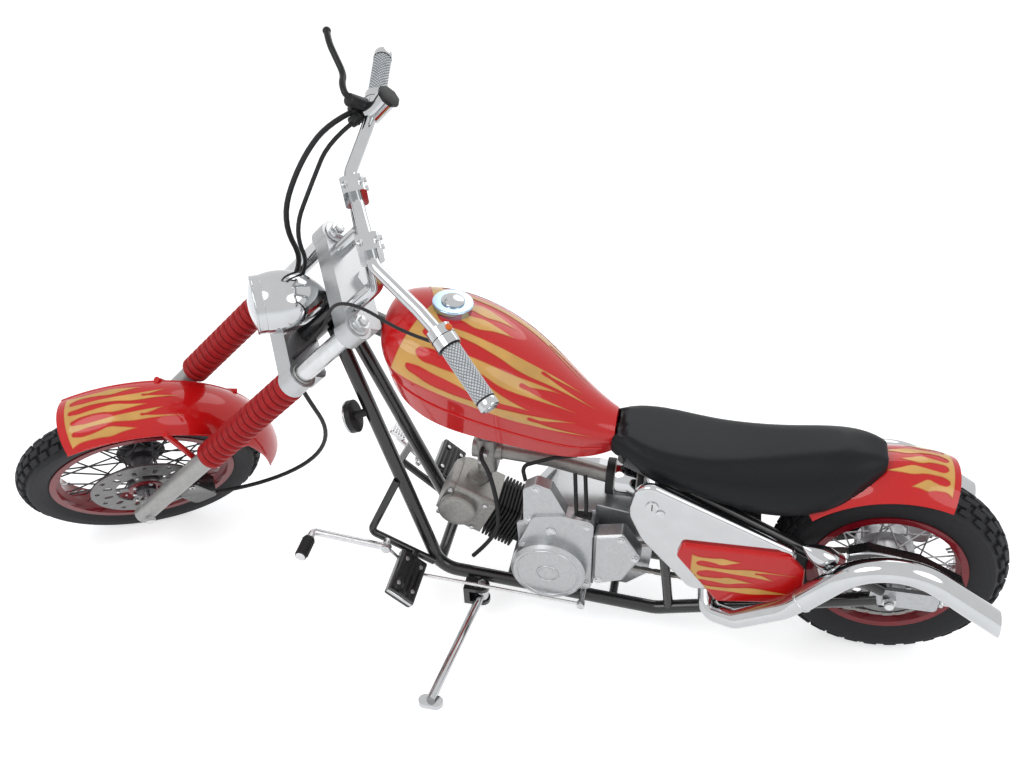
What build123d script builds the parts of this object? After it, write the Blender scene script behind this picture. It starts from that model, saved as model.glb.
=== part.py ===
from build123d import *
import os
from math import cos, radians, sin, sqrt

# Mini chopper motorcycle, in millimetres and degrees. It is drawn upright, with X forward,
# Y to its left and Z up from the line under its wheels, then parked: the fork turned onto
# its left stop and the whole leaned onto the side stand.

# Stance
WHEELBASE = 1568.0
REAR_BACK = 784.0
RAKE = 44.0
FORK_OFFSET = 35.0
STEER_LOCK = 37.0
LEAN = 7.0

# Fits and wall sizes
RUNNING_FIT = 0.05
SEAT_GAP = 0.2
SHEET = 3.0

# Front wheel and tyre
FRONT_R = 248.5
FRONT_HALF = 33.5
FRONT_CROWN = 35.0
FRONT_WALL = 61.5
FRONT_RIM_HALF = 27.0
FRONT_AXLE_R = 7.0
DISC_R = 110.0
DISC_Y = 48.0
DISC_T = 4.0

# Rear wheel and tyre
REAR_R = 228.0
REAR_HALF = 45.0
REAR_CROWN = 48.0
REAR_WALL = 76.0
REAR_RIM_HALF = 36.0
REAR_AXLE_R = 8.0
SPROCKET_R = 80.0
CHAIN_Y = 57.0
CHAIN_W = 10.0
CHAIN_H = 11.0

# Fork, measured up the steering axis from the front axle
LEG_HALF = 100.0
SLIDER_R = 20.0
TUBE_R = 17.5
SLIDER_TOP = 247.0
BOOT_TOP = 541.0
BOOT_RIBS = 16
BOOT_ROOT_R = 24.5
BOOT_RIB_R = 29.0
LOWER_CLAMP_TOP = 580.0
UPPER_CLAMP_LOW = 718.0
UPPER_CLAMP_TOP = 752.0
STEM_R = 12.0
HEAD_R = 25.0

# Handlebar
BAR_R = 11.0
GRIP_R = 16.5
RISER_R = 14.0
RISER_HALF = 60.0
BAR_N = 112.0
BAR_S = 902.0

# Frame tubes
CRADLE_R = 14.0
STAY_R = 12.5
BACKBONE_R = 21.0
RAIL_HALF = 75.0
DROPOUT_HALF = 92.0
DROPOUT_T = 10.0

# Engine
CRANK_X = -125.0
CRANK_Z = 185.0
ENGINE_TILT = 25.0
CASE_HALF = 60.0
COVER_FACE = 113.0
BARREL_HALF = 49.0
FIN_COUNT = 9

# Exhaust
PIPE_R = 19.0
PIPE_WALL = 2.0
PIPE_Y = 150.0

# Derived places
REAR_X = -REAR_BACK
FRONT_X = REAR_X + WHEELBASE
FRONT_FLANGE_R = FRONT_R - FRONT_WALL
REAR_FLANGE_R = REAR_R - REAR_WALL
AXIS_UP = Vector(-sin(radians(RAKE)), 0, cos(radians(RAKE)))
AXIS_FRONT = Vector(cos(radians(RAKE)), 0, sin(radians(RAKE)))
FORK_FOOT = Vector(FRONT_X, 0, FRONT_R) - AXIS_FRONT * FORK_OFFSET
FORK = Plane(origin=FORK_FOOT, x_dir=AXIS_FRONT, z_dir=AXIS_UP)
FRONT_AXLE = Axis((FRONT_X, 0, FRONT_R), (0, 1, 0))
REAR_AXLE = Axis((REAR_X, 0, REAR_R), (0, 1, 0))
STEER_AXIS = Axis(FORK_FOOT, AXIS_UP)

REAR_FENDER_CROWN_R = REAR_R + 45
REAR_FENDER_EDGE_R = REAR_R + 4
REAR_FENDER_HALF = REAR_HALF + 35

pieces = []


def keep(name, builder, turned=False):
    """Label a finished piece and note whether it turns with the fork."""
    builder.part.label = name
    pieces.append((name, builder.part, turned))


def fork_point(n, y, s):
    """A point given forward of the steering axis, to the left, and up the axis."""
    return FORK.from_local_coords(Vector(n, y, s))


def tube(points, radius, bend):
    """A round bar or tube along straight runs with rounded corners."""
    with BuildPart() as run:
        with BuildLine() as path:
            if len(points) > 2:
                FilletPolyline(*points, radius=bend)
            else:
                Line(*points)
        with BuildSketch(path.line ^ 0):
            Circle(radius)
        sweep(path=path.line)
    return run.part


def radial_plane(axle, angle):
    """A plane through a wheel's axle: local X to the left, local Y out, angle forward of up."""
    turn = radians(angle)
    return Plane(origin=axle.position, x_dir=(0, 1, 0), z_dir=(cos(turn), 0, -sin(turn)))


def tyre_part(axle, radius, half, crown, flange_r, rim_half):
    """A tyre as a ring: round crown, bulging walls and beads between the rim's flanges."""
    edge = crown * sin(radians(50))
    drop = crown * (1 - cos(radians(50)))
    foot = rim_half - SHEET - SEAT_GAP
    bead = flange_r - 9 + SEAT_GAP
    wide = (flange_r + radius) / 2
    with BuildPart() as ring:
        with BuildSketch(radial_plane(axle, 0)):
            with BuildLine():
                ThreePointArc((-edge, radius - drop), (0, radius), (edge, radius - drop))
                ThreePointArc((edge, radius - drop), (half, wide), (foot, flange_r + SEAT_GAP))
                Line((foot, flange_r + SEAT_GAP), (foot, bead))
                Line((foot, bead), (-foot, bead))
                Line((-foot, bead), (-foot, flange_r + SEAT_GAP))
                ThreePointArc((-foot, flange_r + SEAT_GAP), (-half, wide), (-edge, radius - drop))
            make_face()
        revolve(axis=axle)
    return ring.part


def rim_part(axle, flange_r, half):
    """A drop-centre steel rim."""
    seat = flange_r - 9
    well = half * 0.45
    outer = [(half, flange_r), (half - SHEET, flange_r), (half - SHEET, seat), (well + 5, seat),
             (well, seat - 9)]
    inner = [(well - 2, seat - 13), (well + 4, seat - 4), (half, seat - 4)]
    right = outer + [(-u, v) for u, v in reversed(outer)]
    under = [(-u, v) for u, v in reversed(inner)] + inner
    with BuildPart() as ring:
        with BuildSketch(radial_plane(axle, 0)):
            with BuildLine():
                Polyline(*right, *under, close=True)
            make_face()
        revolve(axis=axle)
    return ring.part


def spokes_part(axle, hub_r, rim_r, hub_half, rim_half, count, lace):
    """Laced wire spokes, leading and trailing ones on each flange of the hub."""
    wire = 1.7
    layers = ((1, 3.0), (-1, -3.0))
    with BuildPart() as wires:
        for side in (1, -1):
            for lead, step in layers:
                for index in range(count):
                    start = radians(360 / count * (index + 0.25 * (side + lead)))
                    end = start + radians(lace * lead)
                    y_hub = side * (hub_half + step)
                    y_rim = side * (rim_half + step)
                    low = Vector(hub_r * sin(start), y_hub, hub_r * cos(start)) + axle.position
                    top = Vector(rim_r * sin(end), y_rim, rim_r * cos(end)) + axle.position
                    with BuildSketch(Plane(origin=low, z_dir=top - low)):
                        Circle(wire)
                    extrude(amount=(top - low).length)
    return wires.part


def turned_part(axle, profile):
    """A solid of revolution from a table of (to the left, out from the axle) corners."""
    with BuildPart() as solid:
        with BuildSketch(radial_plane(axle, 0)):
            with BuildLine():
                Polyline(*profile, close=True)
            make_face()
        revolve(axis=axle)
    return solid.part


def fender_part(axle, crown_r, edge_r, half, front, rear):
    """A thin mudguard: one curved section swept round the axle between two angles."""
    with BuildPart() as sheet:
        with BuildSketch(radial_plane(axle, -rear)):
            with BuildLine():
                ThreePointArc((-half, edge_r), (0, crown_r), (half, edge_r))
                Line((half, edge_r), (half - SHEET, edge_r))
                ThreePointArc((half - SHEET, edge_r), (0, crown_r - SHEET), (SHEET - half, edge_r))
                Line((SHEET - half, edge_r), (-half, edge_r))
            make_face()
        revolve(axis=axle, revolution_arc=front + rear)
    return sheet.part


# Front wheel: tyre, painted rim, wire spokes, hub and a slotted brake disc on the left.
HUB_BORE_FRONT = FRONT_AXLE_R + RUNNING_FIT
with BuildPart() as front_tyre:
    add(tyre_part(FRONT_AXLE, FRONT_R, FRONT_HALF, FRONT_CROWN, FRONT_FLANGE_R, FRONT_RIM_HALF))
keep("front_tyre", front_tyre, True)

with BuildPart() as front_rim:
    add(rim_part(FRONT_AXLE, FRONT_FLANGE_R, FRONT_RIM_HALF))
keep("front_rim", front_rim, True)

FRONT_HUB_FLANGE_R = 36.0
with BuildPart() as front_hub:
    add(turned_part(FRONT_AXLE, [
        (-56, HUB_BORE_FRONT), (-56, 15), (-44, 24), (-40, 50), (-36, 50), (-34, FRONT_HUB_FLANGE_R),
        (-22, FRONT_HUB_FLANGE_R), (-20, 22), (20, 22), (22, FRONT_HUB_FLANGE_R),
        (34, FRONT_HUB_FLANGE_R), (36, 31), (DISC_Y - DISC_T / 2, 31),
        (DISC_Y - DISC_T / 2, 20), (60, 20), (60, HUB_BORE_FRONT)]))
    add(spokes_part(FRONT_AXLE, FRONT_HUB_FLANGE_R - 2, FRONT_FLANGE_R - 23.2, 28, 6, 9, 38))
keep("front_hub", front_hub, True)

DISC_HOLE_R = 5.0
DISC_INNER_R = 62.0
with BuildPart() as front_disc:
    with BuildSketch(Plane(origin=(FRONT_X, DISC_Y - DISC_T / 2, FRONT_R), z_dir=(0, 1, 0))):
        Circle(DISC_R)
        Circle(DISC_INNER_R, mode=Mode.SUBTRACT)
        with PolarLocations(78, 12):
            SlotOverall(18, 2 * DISC_HOLE_R, mode=Mode.SUBTRACT)
        with PolarLocations(97, 12, start_angle=15):
            Circle(DISC_HOLE_R, mode=Mode.SUBTRACT)
        Circle(36)
        Circle(20 + SEAT_GAP, mode=Mode.SUBTRACT)
        with PolarLocations(48, 5):
            Rectangle(34, 16)
    extrude(amount=DISC_T)
keep("front_disc", front_disc, True)

AXLE_PROUD = 2.0
with BuildPart() as front_axle:
    with BuildSketch(Plane(origin=(FRONT_X, 0, FRONT_R), z_dir=(0, 1, 0))):
        Circle(FRONT_AXLE_R)
    extrude(amount=LEG_HALF + SLIDER_R + AXLE_PROUD, both=True)
    with BuildSketch(Plane(origin=(FRONT_X, -LEG_HALF - SLIDER_R - 10, FRONT_R), z_dir=(0, 1, 0))):
        RegularPolygon(11, 6)
    extrude(amount=10)
    with BuildSketch(Plane(origin=(FRONT_X, LEG_HALF + SLIDER_R, FRONT_R), z_dir=(0, 1, 0))):
        RegularPolygon(11, 6)
    extrude(amount=10)
keep("front_axle", front_axle, True)

# Rear wheel: tyre, painted rim, wire spokes, drum hub and chain sprocket.
HUB_BORE_REAR = REAR_AXLE_R + RUNNING_FIT
with BuildPart() as rear_tyre:
    add(tyre_part(REAR_AXLE, REAR_R, REAR_HALF, REAR_CROWN, REAR_FLANGE_R, REAR_RIM_HALF))
keep("rear_tyre", rear_tyre)

with BuildPart() as rear_rim:
    add(rim_part(REAR_AXLE, REAR_FLANGE_R, REAR_RIM_HALF))
keep("rear_rim", rear_rim)

REAR_HUB_FLANGE_R = 58.0
with BuildPart() as rear_hub:
    add(turned_part(REAR_AXLE, [
        (-62, HUB_BORE_REAR), (-62, 48), (-56, 56), (-38, REAR_HUB_FLANGE_R),
        (-24, REAR_HUB_FLANGE_R), (-20, 45), (20, 45), (24, REAR_HUB_FLANGE_R),
        (38, REAR_HUB_FLANGE_R), (40, 46), (CHAIN_Y - 3, 46), (CHAIN_Y - 3, 24),
        (CHAIN_Y + 10, 24), (CHAIN_Y + 10, HUB_BORE_REAR)]))
    add(spokes_part(REAR_AXLE, REAR_HUB_FLANGE_R - 2, REAR_FLANGE_R - 23.2, 31, 8, 9, 30))
keep("rear_hub", rear_hub)

with BuildPart() as rear_sprocket:
    with BuildSketch(Plane(origin=(REAR_X, CHAIN_Y - 3, REAR_R), z_dir=(0, 1, 0))):
        Circle(SPROCKET_R)
        Circle(24 + SEAT_GAP, mode=Mode.SUBTRACT)
        with PolarLocations(60, 6):
            Circle(9, mode=Mode.SUBTRACT)
    extrude(amount=6)
keep("rear_sprocket", rear_sprocket)

REAR_NUT_T = 12.0
with BuildPart() as rear_axle:
    with BuildSketch(Plane(origin=(REAR_X, 0, REAR_R), z_dir=(0, 1, 0))):
        Circle(REAR_AXLE_R)
    extrude(amount=DROPOUT_HALF + DROPOUT_T / 2 + REAR_NUT_T + 11, both=True)
    for face in (DROPOUT_HALF + DROPOUT_T / 2, -DROPOUT_HALF - DROPOUT_T / 2 - REAR_NUT_T):
        with BuildSketch(Plane(origin=(REAR_X, face, REAR_R), z_dir=(0, 1, 0))):
            RegularPolygon(14, 6)
        extrude(amount=REAR_NUT_T)
keep("rear_axle", rear_axle)

# Telescopic fork: sliders, ribbed rubber boots over the tubes, and two clamps on the stem.
with BuildPart() as fork_sliders:
    with BuildSketch(FORK.offset(-24)):
        with Locations((FORK_OFFSET, LEG_HALF), (FORK_OFFSET, -LEG_HALF)):
            Circle(SLIDER_R)
    extrude(amount=SLIDER_TOP + 24)
    with BuildSketch(Plane(origin=(FRONT_X, 0, FRONT_R), z_dir=(0, 1, 0))):
        Circle(FRONT_AXLE_R + RUNNING_FIT)
    extrude(amount=LEG_HALF + 2 * SLIDER_R, both=True, mode=Mode.SUBTRACT)
keep("fork_sliders", fork_sliders, True)

with BuildPart() as fork_tubes:
    with BuildSketch(FORK.offset(SLIDER_TOP)):
        with Locations((FORK_OFFSET, LEG_HALF), (FORK_OFFSET, -LEG_HALF)):
            Circle(TUBE_R)
    extrude(amount=UPPER_CLAMP_TOP - SLIDER_TOP)
    with BuildSketch(FORK.offset(UPPER_CLAMP_TOP)):
        with Locations((FORK_OFFSET, LEG_HALF), (FORK_OFFSET, -LEG_HALF)):
            RegularPolygon(15, 6)
    extrude(amount=14)
keep("fork_tubes", fork_tubes, True)

rib = (BOOT_TOP - SLIDER_TOP) / BOOT_RIBS
boot_profile = [(TUBE_R + SEAT_GAP, SLIDER_TOP)]
for index in range(BOOT_RIBS):
    low = SLIDER_TOP + rib * index
    boot_profile += [(BOOT_ROOT_R, low), (BOOT_RIB_R, low + rib * 0.3), (BOOT_RIB_R, low + rib * 0.7)]
boot_profile += [(BOOT_ROOT_R, BOOT_TOP), (TUBE_R + SEAT_GAP, BOOT_TOP)]
with BuildPart() as fork_boots:
    for side in (1, -1):
        leg = fork_point(FORK_OFFSET, side * LEG_HALF, 0)
        with BuildSketch(Plane(origin=leg, x_dir=AXIS_FRONT, z_dir=(0, -1, 0))):
            with BuildLine():
                Polyline(*boot_profile, close=True)
            make_face()
        revolve(axis=Axis(leg, AXIS_UP))
keep("fork_boots", fork_boots, True)


def clamp_part(low, top):
    """One triple clamp: a plate round the stem and both legs."""
    with BuildPart() as plate:
        with BuildSketch(FORK.offset(low)):
            with Locations((FORK_OFFSET / 2 + 2, 0)):
                RectangleRounded(78, 2 * LEG_HALF, 12)
            with Locations((FORK_OFFSET, LEG_HALF), (FORK_OFFSET, -LEG_HALF)):
                Circle(27)
            with Locations((FORK_OFFSET, LEG_HALF), (FORK_OFFSET, -LEG_HALF)):
                Circle(TUBE_R + RUNNING_FIT, mode=Mode.SUBTRACT)
            Circle(STEM_R + RUNNING_FIT, mode=Mode.SUBTRACT)
        extrude(amount=top - low)
    return plate.part


with BuildPart() as upper_clamp:
    add(clamp_part(UPPER_CLAMP_LOW, UPPER_CLAMP_TOP))
keep("upper_clamp", upper_clamp, True)

# Front mudguard on struts from bosses on the sliders.
FENDER_CROWN_R = FRONT_R + 39.5
FENDER_EDGE_R = FRONT_R + 13.5
FENDER_HALF = FRONT_HALF + 28.5
with BuildPart() as front_fender:
    add(fender_part(FRONT_AXLE, FENDER_CROWN_R, FENDER_EDGE_R, FENDER_HALF, 16, 94))
    for angle in (-24, -64):
        outer = radial_plane(FRONT_AXLE, angle).from_local_coords(Vector(FENDER_HALF, FENDER_EDGE_R + 6, 0))
        boss = fork_point(FORK_OFFSET, LEG_HALF - SLIDER_R, 200)
        add(tube([boss, outer], 6, 0))
    mirror(about=Plane.XZ)
    add(fork_sliders.part, mode=Mode.SUBTRACT)
keep("front_fender", front_fender, True)

# Front caliper behind the left leg, straddling the disc.
CALIPER_Y = DISC_Y
with BuildPart() as brake_caliper:
    with BuildSketch(Plane(origin=(FRONT_X, CALIPER_Y - 14, FRONT_R), x_dir=(1, 0, 0), z_dir=(0, 1, 0))):
        with Locations(Location((-92, 36), 20)):
            RectangleRounded(56, 92, 12)
    extrude(amount=42)
    with BuildSketch(Plane(origin=(FRONT_X, CALIPER_Y - 8, FRONT_R), z_dir=(0, 1, 0))):
        Circle(DISC_R + 5)
    extrude(amount=16, mode=Mode.SUBTRACT)
    for rise in (24, 76):
        add(tube([fork_point(FORK_OFFSET - 8, LEG_HALF - 8, rise), fork_point(-44, 66, rise - 6)], 7, 0))
    add(fork_sliders.part, mode=Mode.SUBTRACT)
keep("brake_caliper", brake_caliper, True)

# Headlamp: a bullet shell and a glass, on a bracket from the lower clamp.
LAMP_R = 53.0
LAMP_LENGTH = 128.0
LENS_R = 48.0
LENS_RISE = 11.0
LAMP_TILT = 8.0
LAMP_FRONT = fork_point(144, 0, 622.4)
lamp_dir = Vector(cos(radians(LAMP_TILT)), 0, sin(radians(LAMP_TILT)))
LAMP = Plane(origin=LAMP_FRONT, x_dir=lamp_dir, z_dir=(0, -1, 0))
with BuildPart() as headlamp_shell:
    with BuildSketch(LAMP):
        with BuildLine():
            Line((0, 0), (0, LAMP_R))
            Line((0, LAMP_R), (-16, LAMP_R))
            ThreePointArc((-16, LAMP_R), (-92, 43), (-LAMP_LENGTH, 9))
            Line((-LAMP_LENGTH, 9), (-LAMP_LENGTH, 0))
            Line((-LAMP_LENGTH, 0), (0, 0))
        make_face()
    revolve(axis=Axis(LAMP_FRONT, lamp_dir))
keep("headlamp_shell", headlamp_shell, True)

with BuildPart() as headlamp_lens:
    with BuildSketch(LAMP):
        with BuildLine():
            Line((0, 0), (0, LENS_R))
            RadiusArc((0, LENS_R), (LENS_RISE, 0), (LENS_R ** 2 + LENS_RISE ** 2) / (2 * LENS_RISE))
            Line((LENS_RISE, 0), (0, 0))
        make_face()
    revolve(axis=Axis(LAMP_FRONT, lamp_dir))
keep("headlamp_lens", headlamp_lens, True)

with BuildPart() as lower_clamp:
    add(clamp_part(BOOT_TOP, LOWER_CLAMP_TOP))
    with BuildSketch(FORK.offset(BOOT_TOP - 8)):
        Circle(STEM_R)
    extrude(amount=UPPER_CLAMP_TOP - BOOT_TOP + 8)
    with BuildSketch(FORK.offset(UPPER_CLAMP_TOP)):
        RegularPolygon(18, 6)
    extrude(amount=12)
    with BuildSketch(FORK.offset(LOWER_CLAMP_TOP - 6)):
        with Locations((52, 0)):
            Rectangle(12, 40)
    extrude(amount=60)
    add(headlamp_shell.part, mode=Mode.SUBTRACT)
keep("lower_clamp", lower_clamp, True)

# Handlebar on curved risers, with grips, switch housing, throttle housing and brake lever.
bar_half = [(BAR_N, 0, BAR_S), (BAR_N, 96, BAR_S), (72, 190, 932), (46, 252, 946), (4, 376, 960)]
bar_route = [fork_point(n, -y, s) for n, y, s in reversed(bar_half[1:])]
bar_route += [fork_point(n, y, s) for n, y, s in bar_half]
bar_points = [p for i, p in enumerate(bar_route) if i != 4]
with BuildPart() as handlebar:
    add(tube(bar_points, BAR_R, 40))
keep("handlebar", handlebar, True)

with BuildPart() as risers:
    for side in (1, -1):
        y = side * RISER_HALF
        add(tube([fork_point(36, y, UPPER_CLAMP_TOP), fork_point(36, y, 822), fork_point(BAR_N, y, BAR_S)],
                 RISER_R, 40))
        with BuildSketch(Plane(origin=fork_point(BAR_N, y - 17, BAR_S), x_dir=(1, 0, 0), z_dir=(0, 1, 0))):
            RectangleRounded(40, 46, 8)
        extrude(amount=34)
    with BuildSketch(Plane(origin=fork_point(BAR_N, -100, BAR_S), z_dir=(0, 1, 0))):
        Circle(BAR_R + RUNNING_FIT)
    extrude(amount=200, mode=Mode.SUBTRACT)
keep("risers", risers, True)


def bar_sleeve(side, start, end, outer):
    """A sleeve on one end of the bar, between two distances out from the last bend."""
    inner_end = fork_point(46, side * 252, 946)
    along = (fork_point(4, side * 376, 960) - inner_end).normalized()
    with BuildPart() as sleeve:
        with BuildSketch(Plane(origin=inner_end + along * start, z_dir=along)):
            Circle(outer)
            Circle(BAR_R + RUNNING_FIT, mode=Mode.SUBTRACT)
        extrude(amount=end - start)
    return sleeve.part


GRIP_START = 12.0
GRIP_END = 130.0
with BuildPart() as grips:
    add(bar_sleeve(1, GRIP_START, GRIP_END, GRIP_R))
    add(bar_sleeve(-1, GRIP_START, GRIP_END, GRIP_R))
keep("grips", grips, True)

HOUSING_LENGTH = 36.0
RESERVOIR_R = 19.0
with BuildPart() as bar_housings:
    add(bar_sleeve(1, GRIP_START - HOUSING_LENGTH, GRIP_START - SEAT_GAP, 21))
    add(bar_sleeve(-1, GRIP_START - HOUSING_LENGTH, GRIP_START - SEAT_GAP, 21))
    with BuildSketch(Plane(origin=fork_point(58, -222, 938), z_dir=AXIS_UP)):
        Circle(RESERVOIR_R)
    extrude(amount=46)
    add(handlebar.part, mode=Mode.SUBTRACT)
keep("bar_housings", bar_housings, True)

with BuildPart() as brake_lever:
    add(tube([fork_point(60, -232, 942), fork_point(112, -232, 942), fork_point(108, -272, 946),
              fork_point(126, -330, 954), fork_point(130, -372, 956)], 6, 14))
    add(bar_housings.part, mode=Mode.SUBTRACT)
    add(handlebar.part, mode=Mode.SUBTRACT)
keep("brake_lever", brake_lever, True)

# Black cables from both ends of the bar down in front of the clamp, and the brake hose.
CABLE_END = LOWER_CLAMP_TOP + SEAT_GAP
with BuildPart() as control_cables:
    add(tube([fork_point(50, -252, 936), fork_point(112, -226, 896), fork_point(172, -140, 856),
              fork_point(160, -84, 760), fork_point(46, -74, 672), fork_point(46, -74, CABLE_END)], 5, 30))
    add(tube([fork_point(54, -238, 934), fork_point(112, -196, 880), fork_point(150, -104, 846),
              fork_point(142, -62, 766), fork_point(50, -54, 686), fork_point(50, -54, CABLE_END)], 4, 26))
    add(tube([fork_point(50, 246, 930), fork_point(64, 200, 880), fork_point(96, 120, 830),
              fork_point(100, 78, 770), fork_point(48, 68, 680), fork_point(48, 68, CABLE_END)], 3, 24))
    add(bar_housings.part, mode=Mode.SUBTRACT)
    add(handlebar.part, mode=Mode.SUBTRACT)
    add(tube([fork_point(-6, 45, BOOT_TOP - SEAT_GAP), fork_point(-6, 45, 505), fork_point(-60, 62, 460),
              fork_point(-190, 80, 360), fork_point(-232, 80, 220), fork_point(-170, 66, 60),
              fork_point(-80, 66, 20)], 4.5, [12, 20, 36, 36, 36]))
    add(brake_caliper.part, mode=Mode.SUBTRACT)
keep("cables", control_cables, True)

# Frame: head tube, backbone, two cradle tubes that run back to the axle, stays and cross tubes.
HEAD_NODE = fork_point(0, 0, 676)
SEAT_LINE = REAR_R + REAR_FENDER_CROWN_R - 33
SEAT_NODE = Vector(-262, 0, SEAT_LINE)
with BuildPart() as backbone:
    add(tube([HEAD_NODE, SEAT_NODE], BACKBONE_R, 0))
    with BuildSketch(FORK.offset(LOWER_CLAMP_TOP + 2)):
        Circle(HEAD_R)
    extrude(amount=UPPER_CLAMP_LOW - LOWER_CLAMP_TOP - 4)
    with BuildSketch(FORK.offset(LOWER_CLAMP_TOP)):
        Circle(STEM_R + RUNNING_FIT)
    extrude(amount=UPPER_CLAMP_LOW - LOWER_CLAMP_TOP, mode=Mode.SUBTRACT)
keep("backbone", backbone)

CORNER = (109, RAIL_HALF, 121)
KINK = (-345, RAIL_HALF, 84)
DROP = (REAR_X + 20, DROPOUT_HALF, REAR_R - 10)
with BuildPart() as cradle_left:
    add(tube([fork_point(-22, 24, 650), CORNER, KINK, DROP], CRADLE_R, 55))
    with BuildSketch(FORK.offset(LOWER_CLAMP_TOP - 40)):
        Circle(HEAD_R)
    extrude(amount=200, mode=Mode.SUBTRACT)
    add(backbone.part, mode=Mode.SUBTRACT)
keep("cradle_left", cradle_left)

with BuildPart() as cradle_right:
    add(cradle_left.part)
    mirror(about=Plane.XZ, mode=Mode.REPLACE)
keep("cradle_right", cradle_right)

with BuildPart() as cross_tubes:
    for x, z, half, radius in ((112, 128, RAIL_HALF, 12), (-40, 108, RAIL_HALF, 9),
                               (-255, 91, RAIL_HALF, 9), (-440, 114, RAIL_HALF + 4, 11)):
        add(tube([Vector(x, -half, z), Vector(x, half, z)], radius, 0))
    add(tube([SEAT_NODE + Vector(0, -58, 0), SEAT_NODE + Vector(0, 58, 0)], 14, 0))
    add(cradle_left.part, mode=Mode.SUBTRACT)
    add(cradle_right.part, mode=Mode.SUBTRACT)
    add(backbone.part, mode=Mode.SUBTRACT)
keep("cross_tubes", cross_tubes)

UPPER_END = (REAR_X + 14, DROPOUT_HALF, REAR_R + 16)
with BuildPart() as upper_stays:
    add(tube([Vector(SEAT_NODE.X, 58, SEAT_NODE.Z), UPPER_END], STAY_R, 0))
    add(tube([Vector(-330, 64, SEAT_LINE - 32), Vector(-345, 79, 300), Vector(-372, 78, 95)], 10, 30))
    mirror(about=Plane.XZ)
    add(cross_tubes.part, mode=Mode.SUBTRACT)
    add(cradle_left.part, mode=Mode.SUBTRACT)
    add(cradle_right.part, mode=Mode.SUBTRACT)
keep("upper_stays", upper_stays)

with BuildPart() as dropouts:
    with BuildSketch(Plane(origin=(REAR_X, DROPOUT_HALF - DROPOUT_T / 2, REAR_R), x_dir=(1, 0, 0),
                           z_dir=(0, 1, 0))):
        with Locations((-28, 0)):
            RectangleRounded(128, 44, 10)
        Circle(REAR_AXLE_R + RUNNING_FIT, mode=Mode.SUBTRACT)
    extrude(amount=DROPOUT_T)
    mirror(about=Plane.XZ)
    add(cradle_left.part, mode=Mode.SUBTRACT)
    add(cradle_right.part, mode=Mode.SUBTRACT)
    add(upper_stays.part, mode=Mode.SUBTRACT)
keep("dropouts", dropouts)

# Engine: crankcase, side covers, finned barrel and head lying forward, carburettor and filter.
CASE_LOW = 110.0
GEARBOX_LEFT = 44.0
DRIVE_X = -262.0
DRIVE_Z = 208.0
DRIVE_R = 26.0
case_outline = [(-60, 148), (-78, 122), (-125, CASE_LOW + 6), (-280, CASE_LOW), (-322, 150), (-330, 250),
                (-300, 312), (-215, 326), (-120, 322), (-92, 262), (-52, 262)]
with BuildPart() as crankcase:
    with BuildSketch(Plane(origin=(0, -CASE_HALF, 0), x_dir=(1, 0, 0), z_dir=(0, -1, 0))):
        with BuildLine():
            Polyline(*case_outline, close=True)
        make_face()
    extrude(amount=-2 * CASE_HALF)
    with BuildSketch(Plane(origin=(0, GEARBOX_LEFT, 0), x_dir=(1, 0, 0), z_dir=(0, 1, 0))):
        with Locations((-312, -220)):
            Rectangle(200, 300)
    extrude(amount=40, mode=Mode.SUBTRACT)
    with BuildSketch(Plane(origin=(DRIVE_X, GEARBOX_LEFT - 2, DRIVE_Z), z_dir=(0, 1, 0))):
        Circle(12)
    extrude(amount=22)
    with BuildSketch(Plane(origin=(DRIVE_X, CHAIN_Y - 3, DRIVE_Z), z_dir=(0, 1, 0))):
        Circle(DRIVE_R)
    extrude(amount=6)
    add(cross_tubes.part, mode=Mode.SUBTRACT)
keep("crankcase", crankcase)

left_face = Plane(origin=(0, CASE_HALF, 0), x_dir=(1, 0, 0), z_dir=(0, -1, 0))
cover_outline = [(-62, 240), (-66, 150), (-120, 124), (-212, 132), (-212, 322), (-150, 330), (-92, 318)]
lobe_outline = [(-72, 290), (-72, 384), (-97, 402), (-126, 392), (-160, 322), (-150, 280)]
COVER_STEP = 32.0
LOBE_STEP = 26.0
BOSS_R = 76.0
with BuildPart() as magneto_cover:
    with BuildSketch(left_face):
        with BuildLine():
            Polyline(*cover_outline, close=True)
        make_face()
        fillet(vertices(), 14)
    extrude(amount=-COVER_STEP)
    with BuildSketch(left_face):
        with BuildLine():
            Polyline(*lobe_outline, close=True)
        make_face()
        fillet(vertices(), 10)
    extrude(amount=-LOBE_STEP)
    with BuildSketch(left_face.offset(-COVER_STEP)):
        with Locations((CRANK_X, CRANK_Z)):
            Circle(BOSS_R)
    extrude(amount=CASE_HALF + COVER_STEP - COVER_FACE)
    chamfer(faces().sort_by(Axis.Y)[-1].edges(), 6)
keep("magneto_cover", magneto_cover)

with BuildPart() as sprocket_cover:
    with BuildSketch(left_face.offset(CASE_HALF - CHAIN_Y - CHAIN_W)):
        with BuildLine():
            Polyline((-214, 296), (-214, 168), (-230, 162), (-276, 180), (-309, 250), (-272, 310), close=True)
        make_face()
        fillet(vertices(), 9)
    extrude(amount=CHAIN_Y + CHAIN_W - 104)
    chamfer(faces().sort_by(Axis.Y)[-1].edges(), 6)
keep("sprocket_cover", sprocket_cover)

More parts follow.
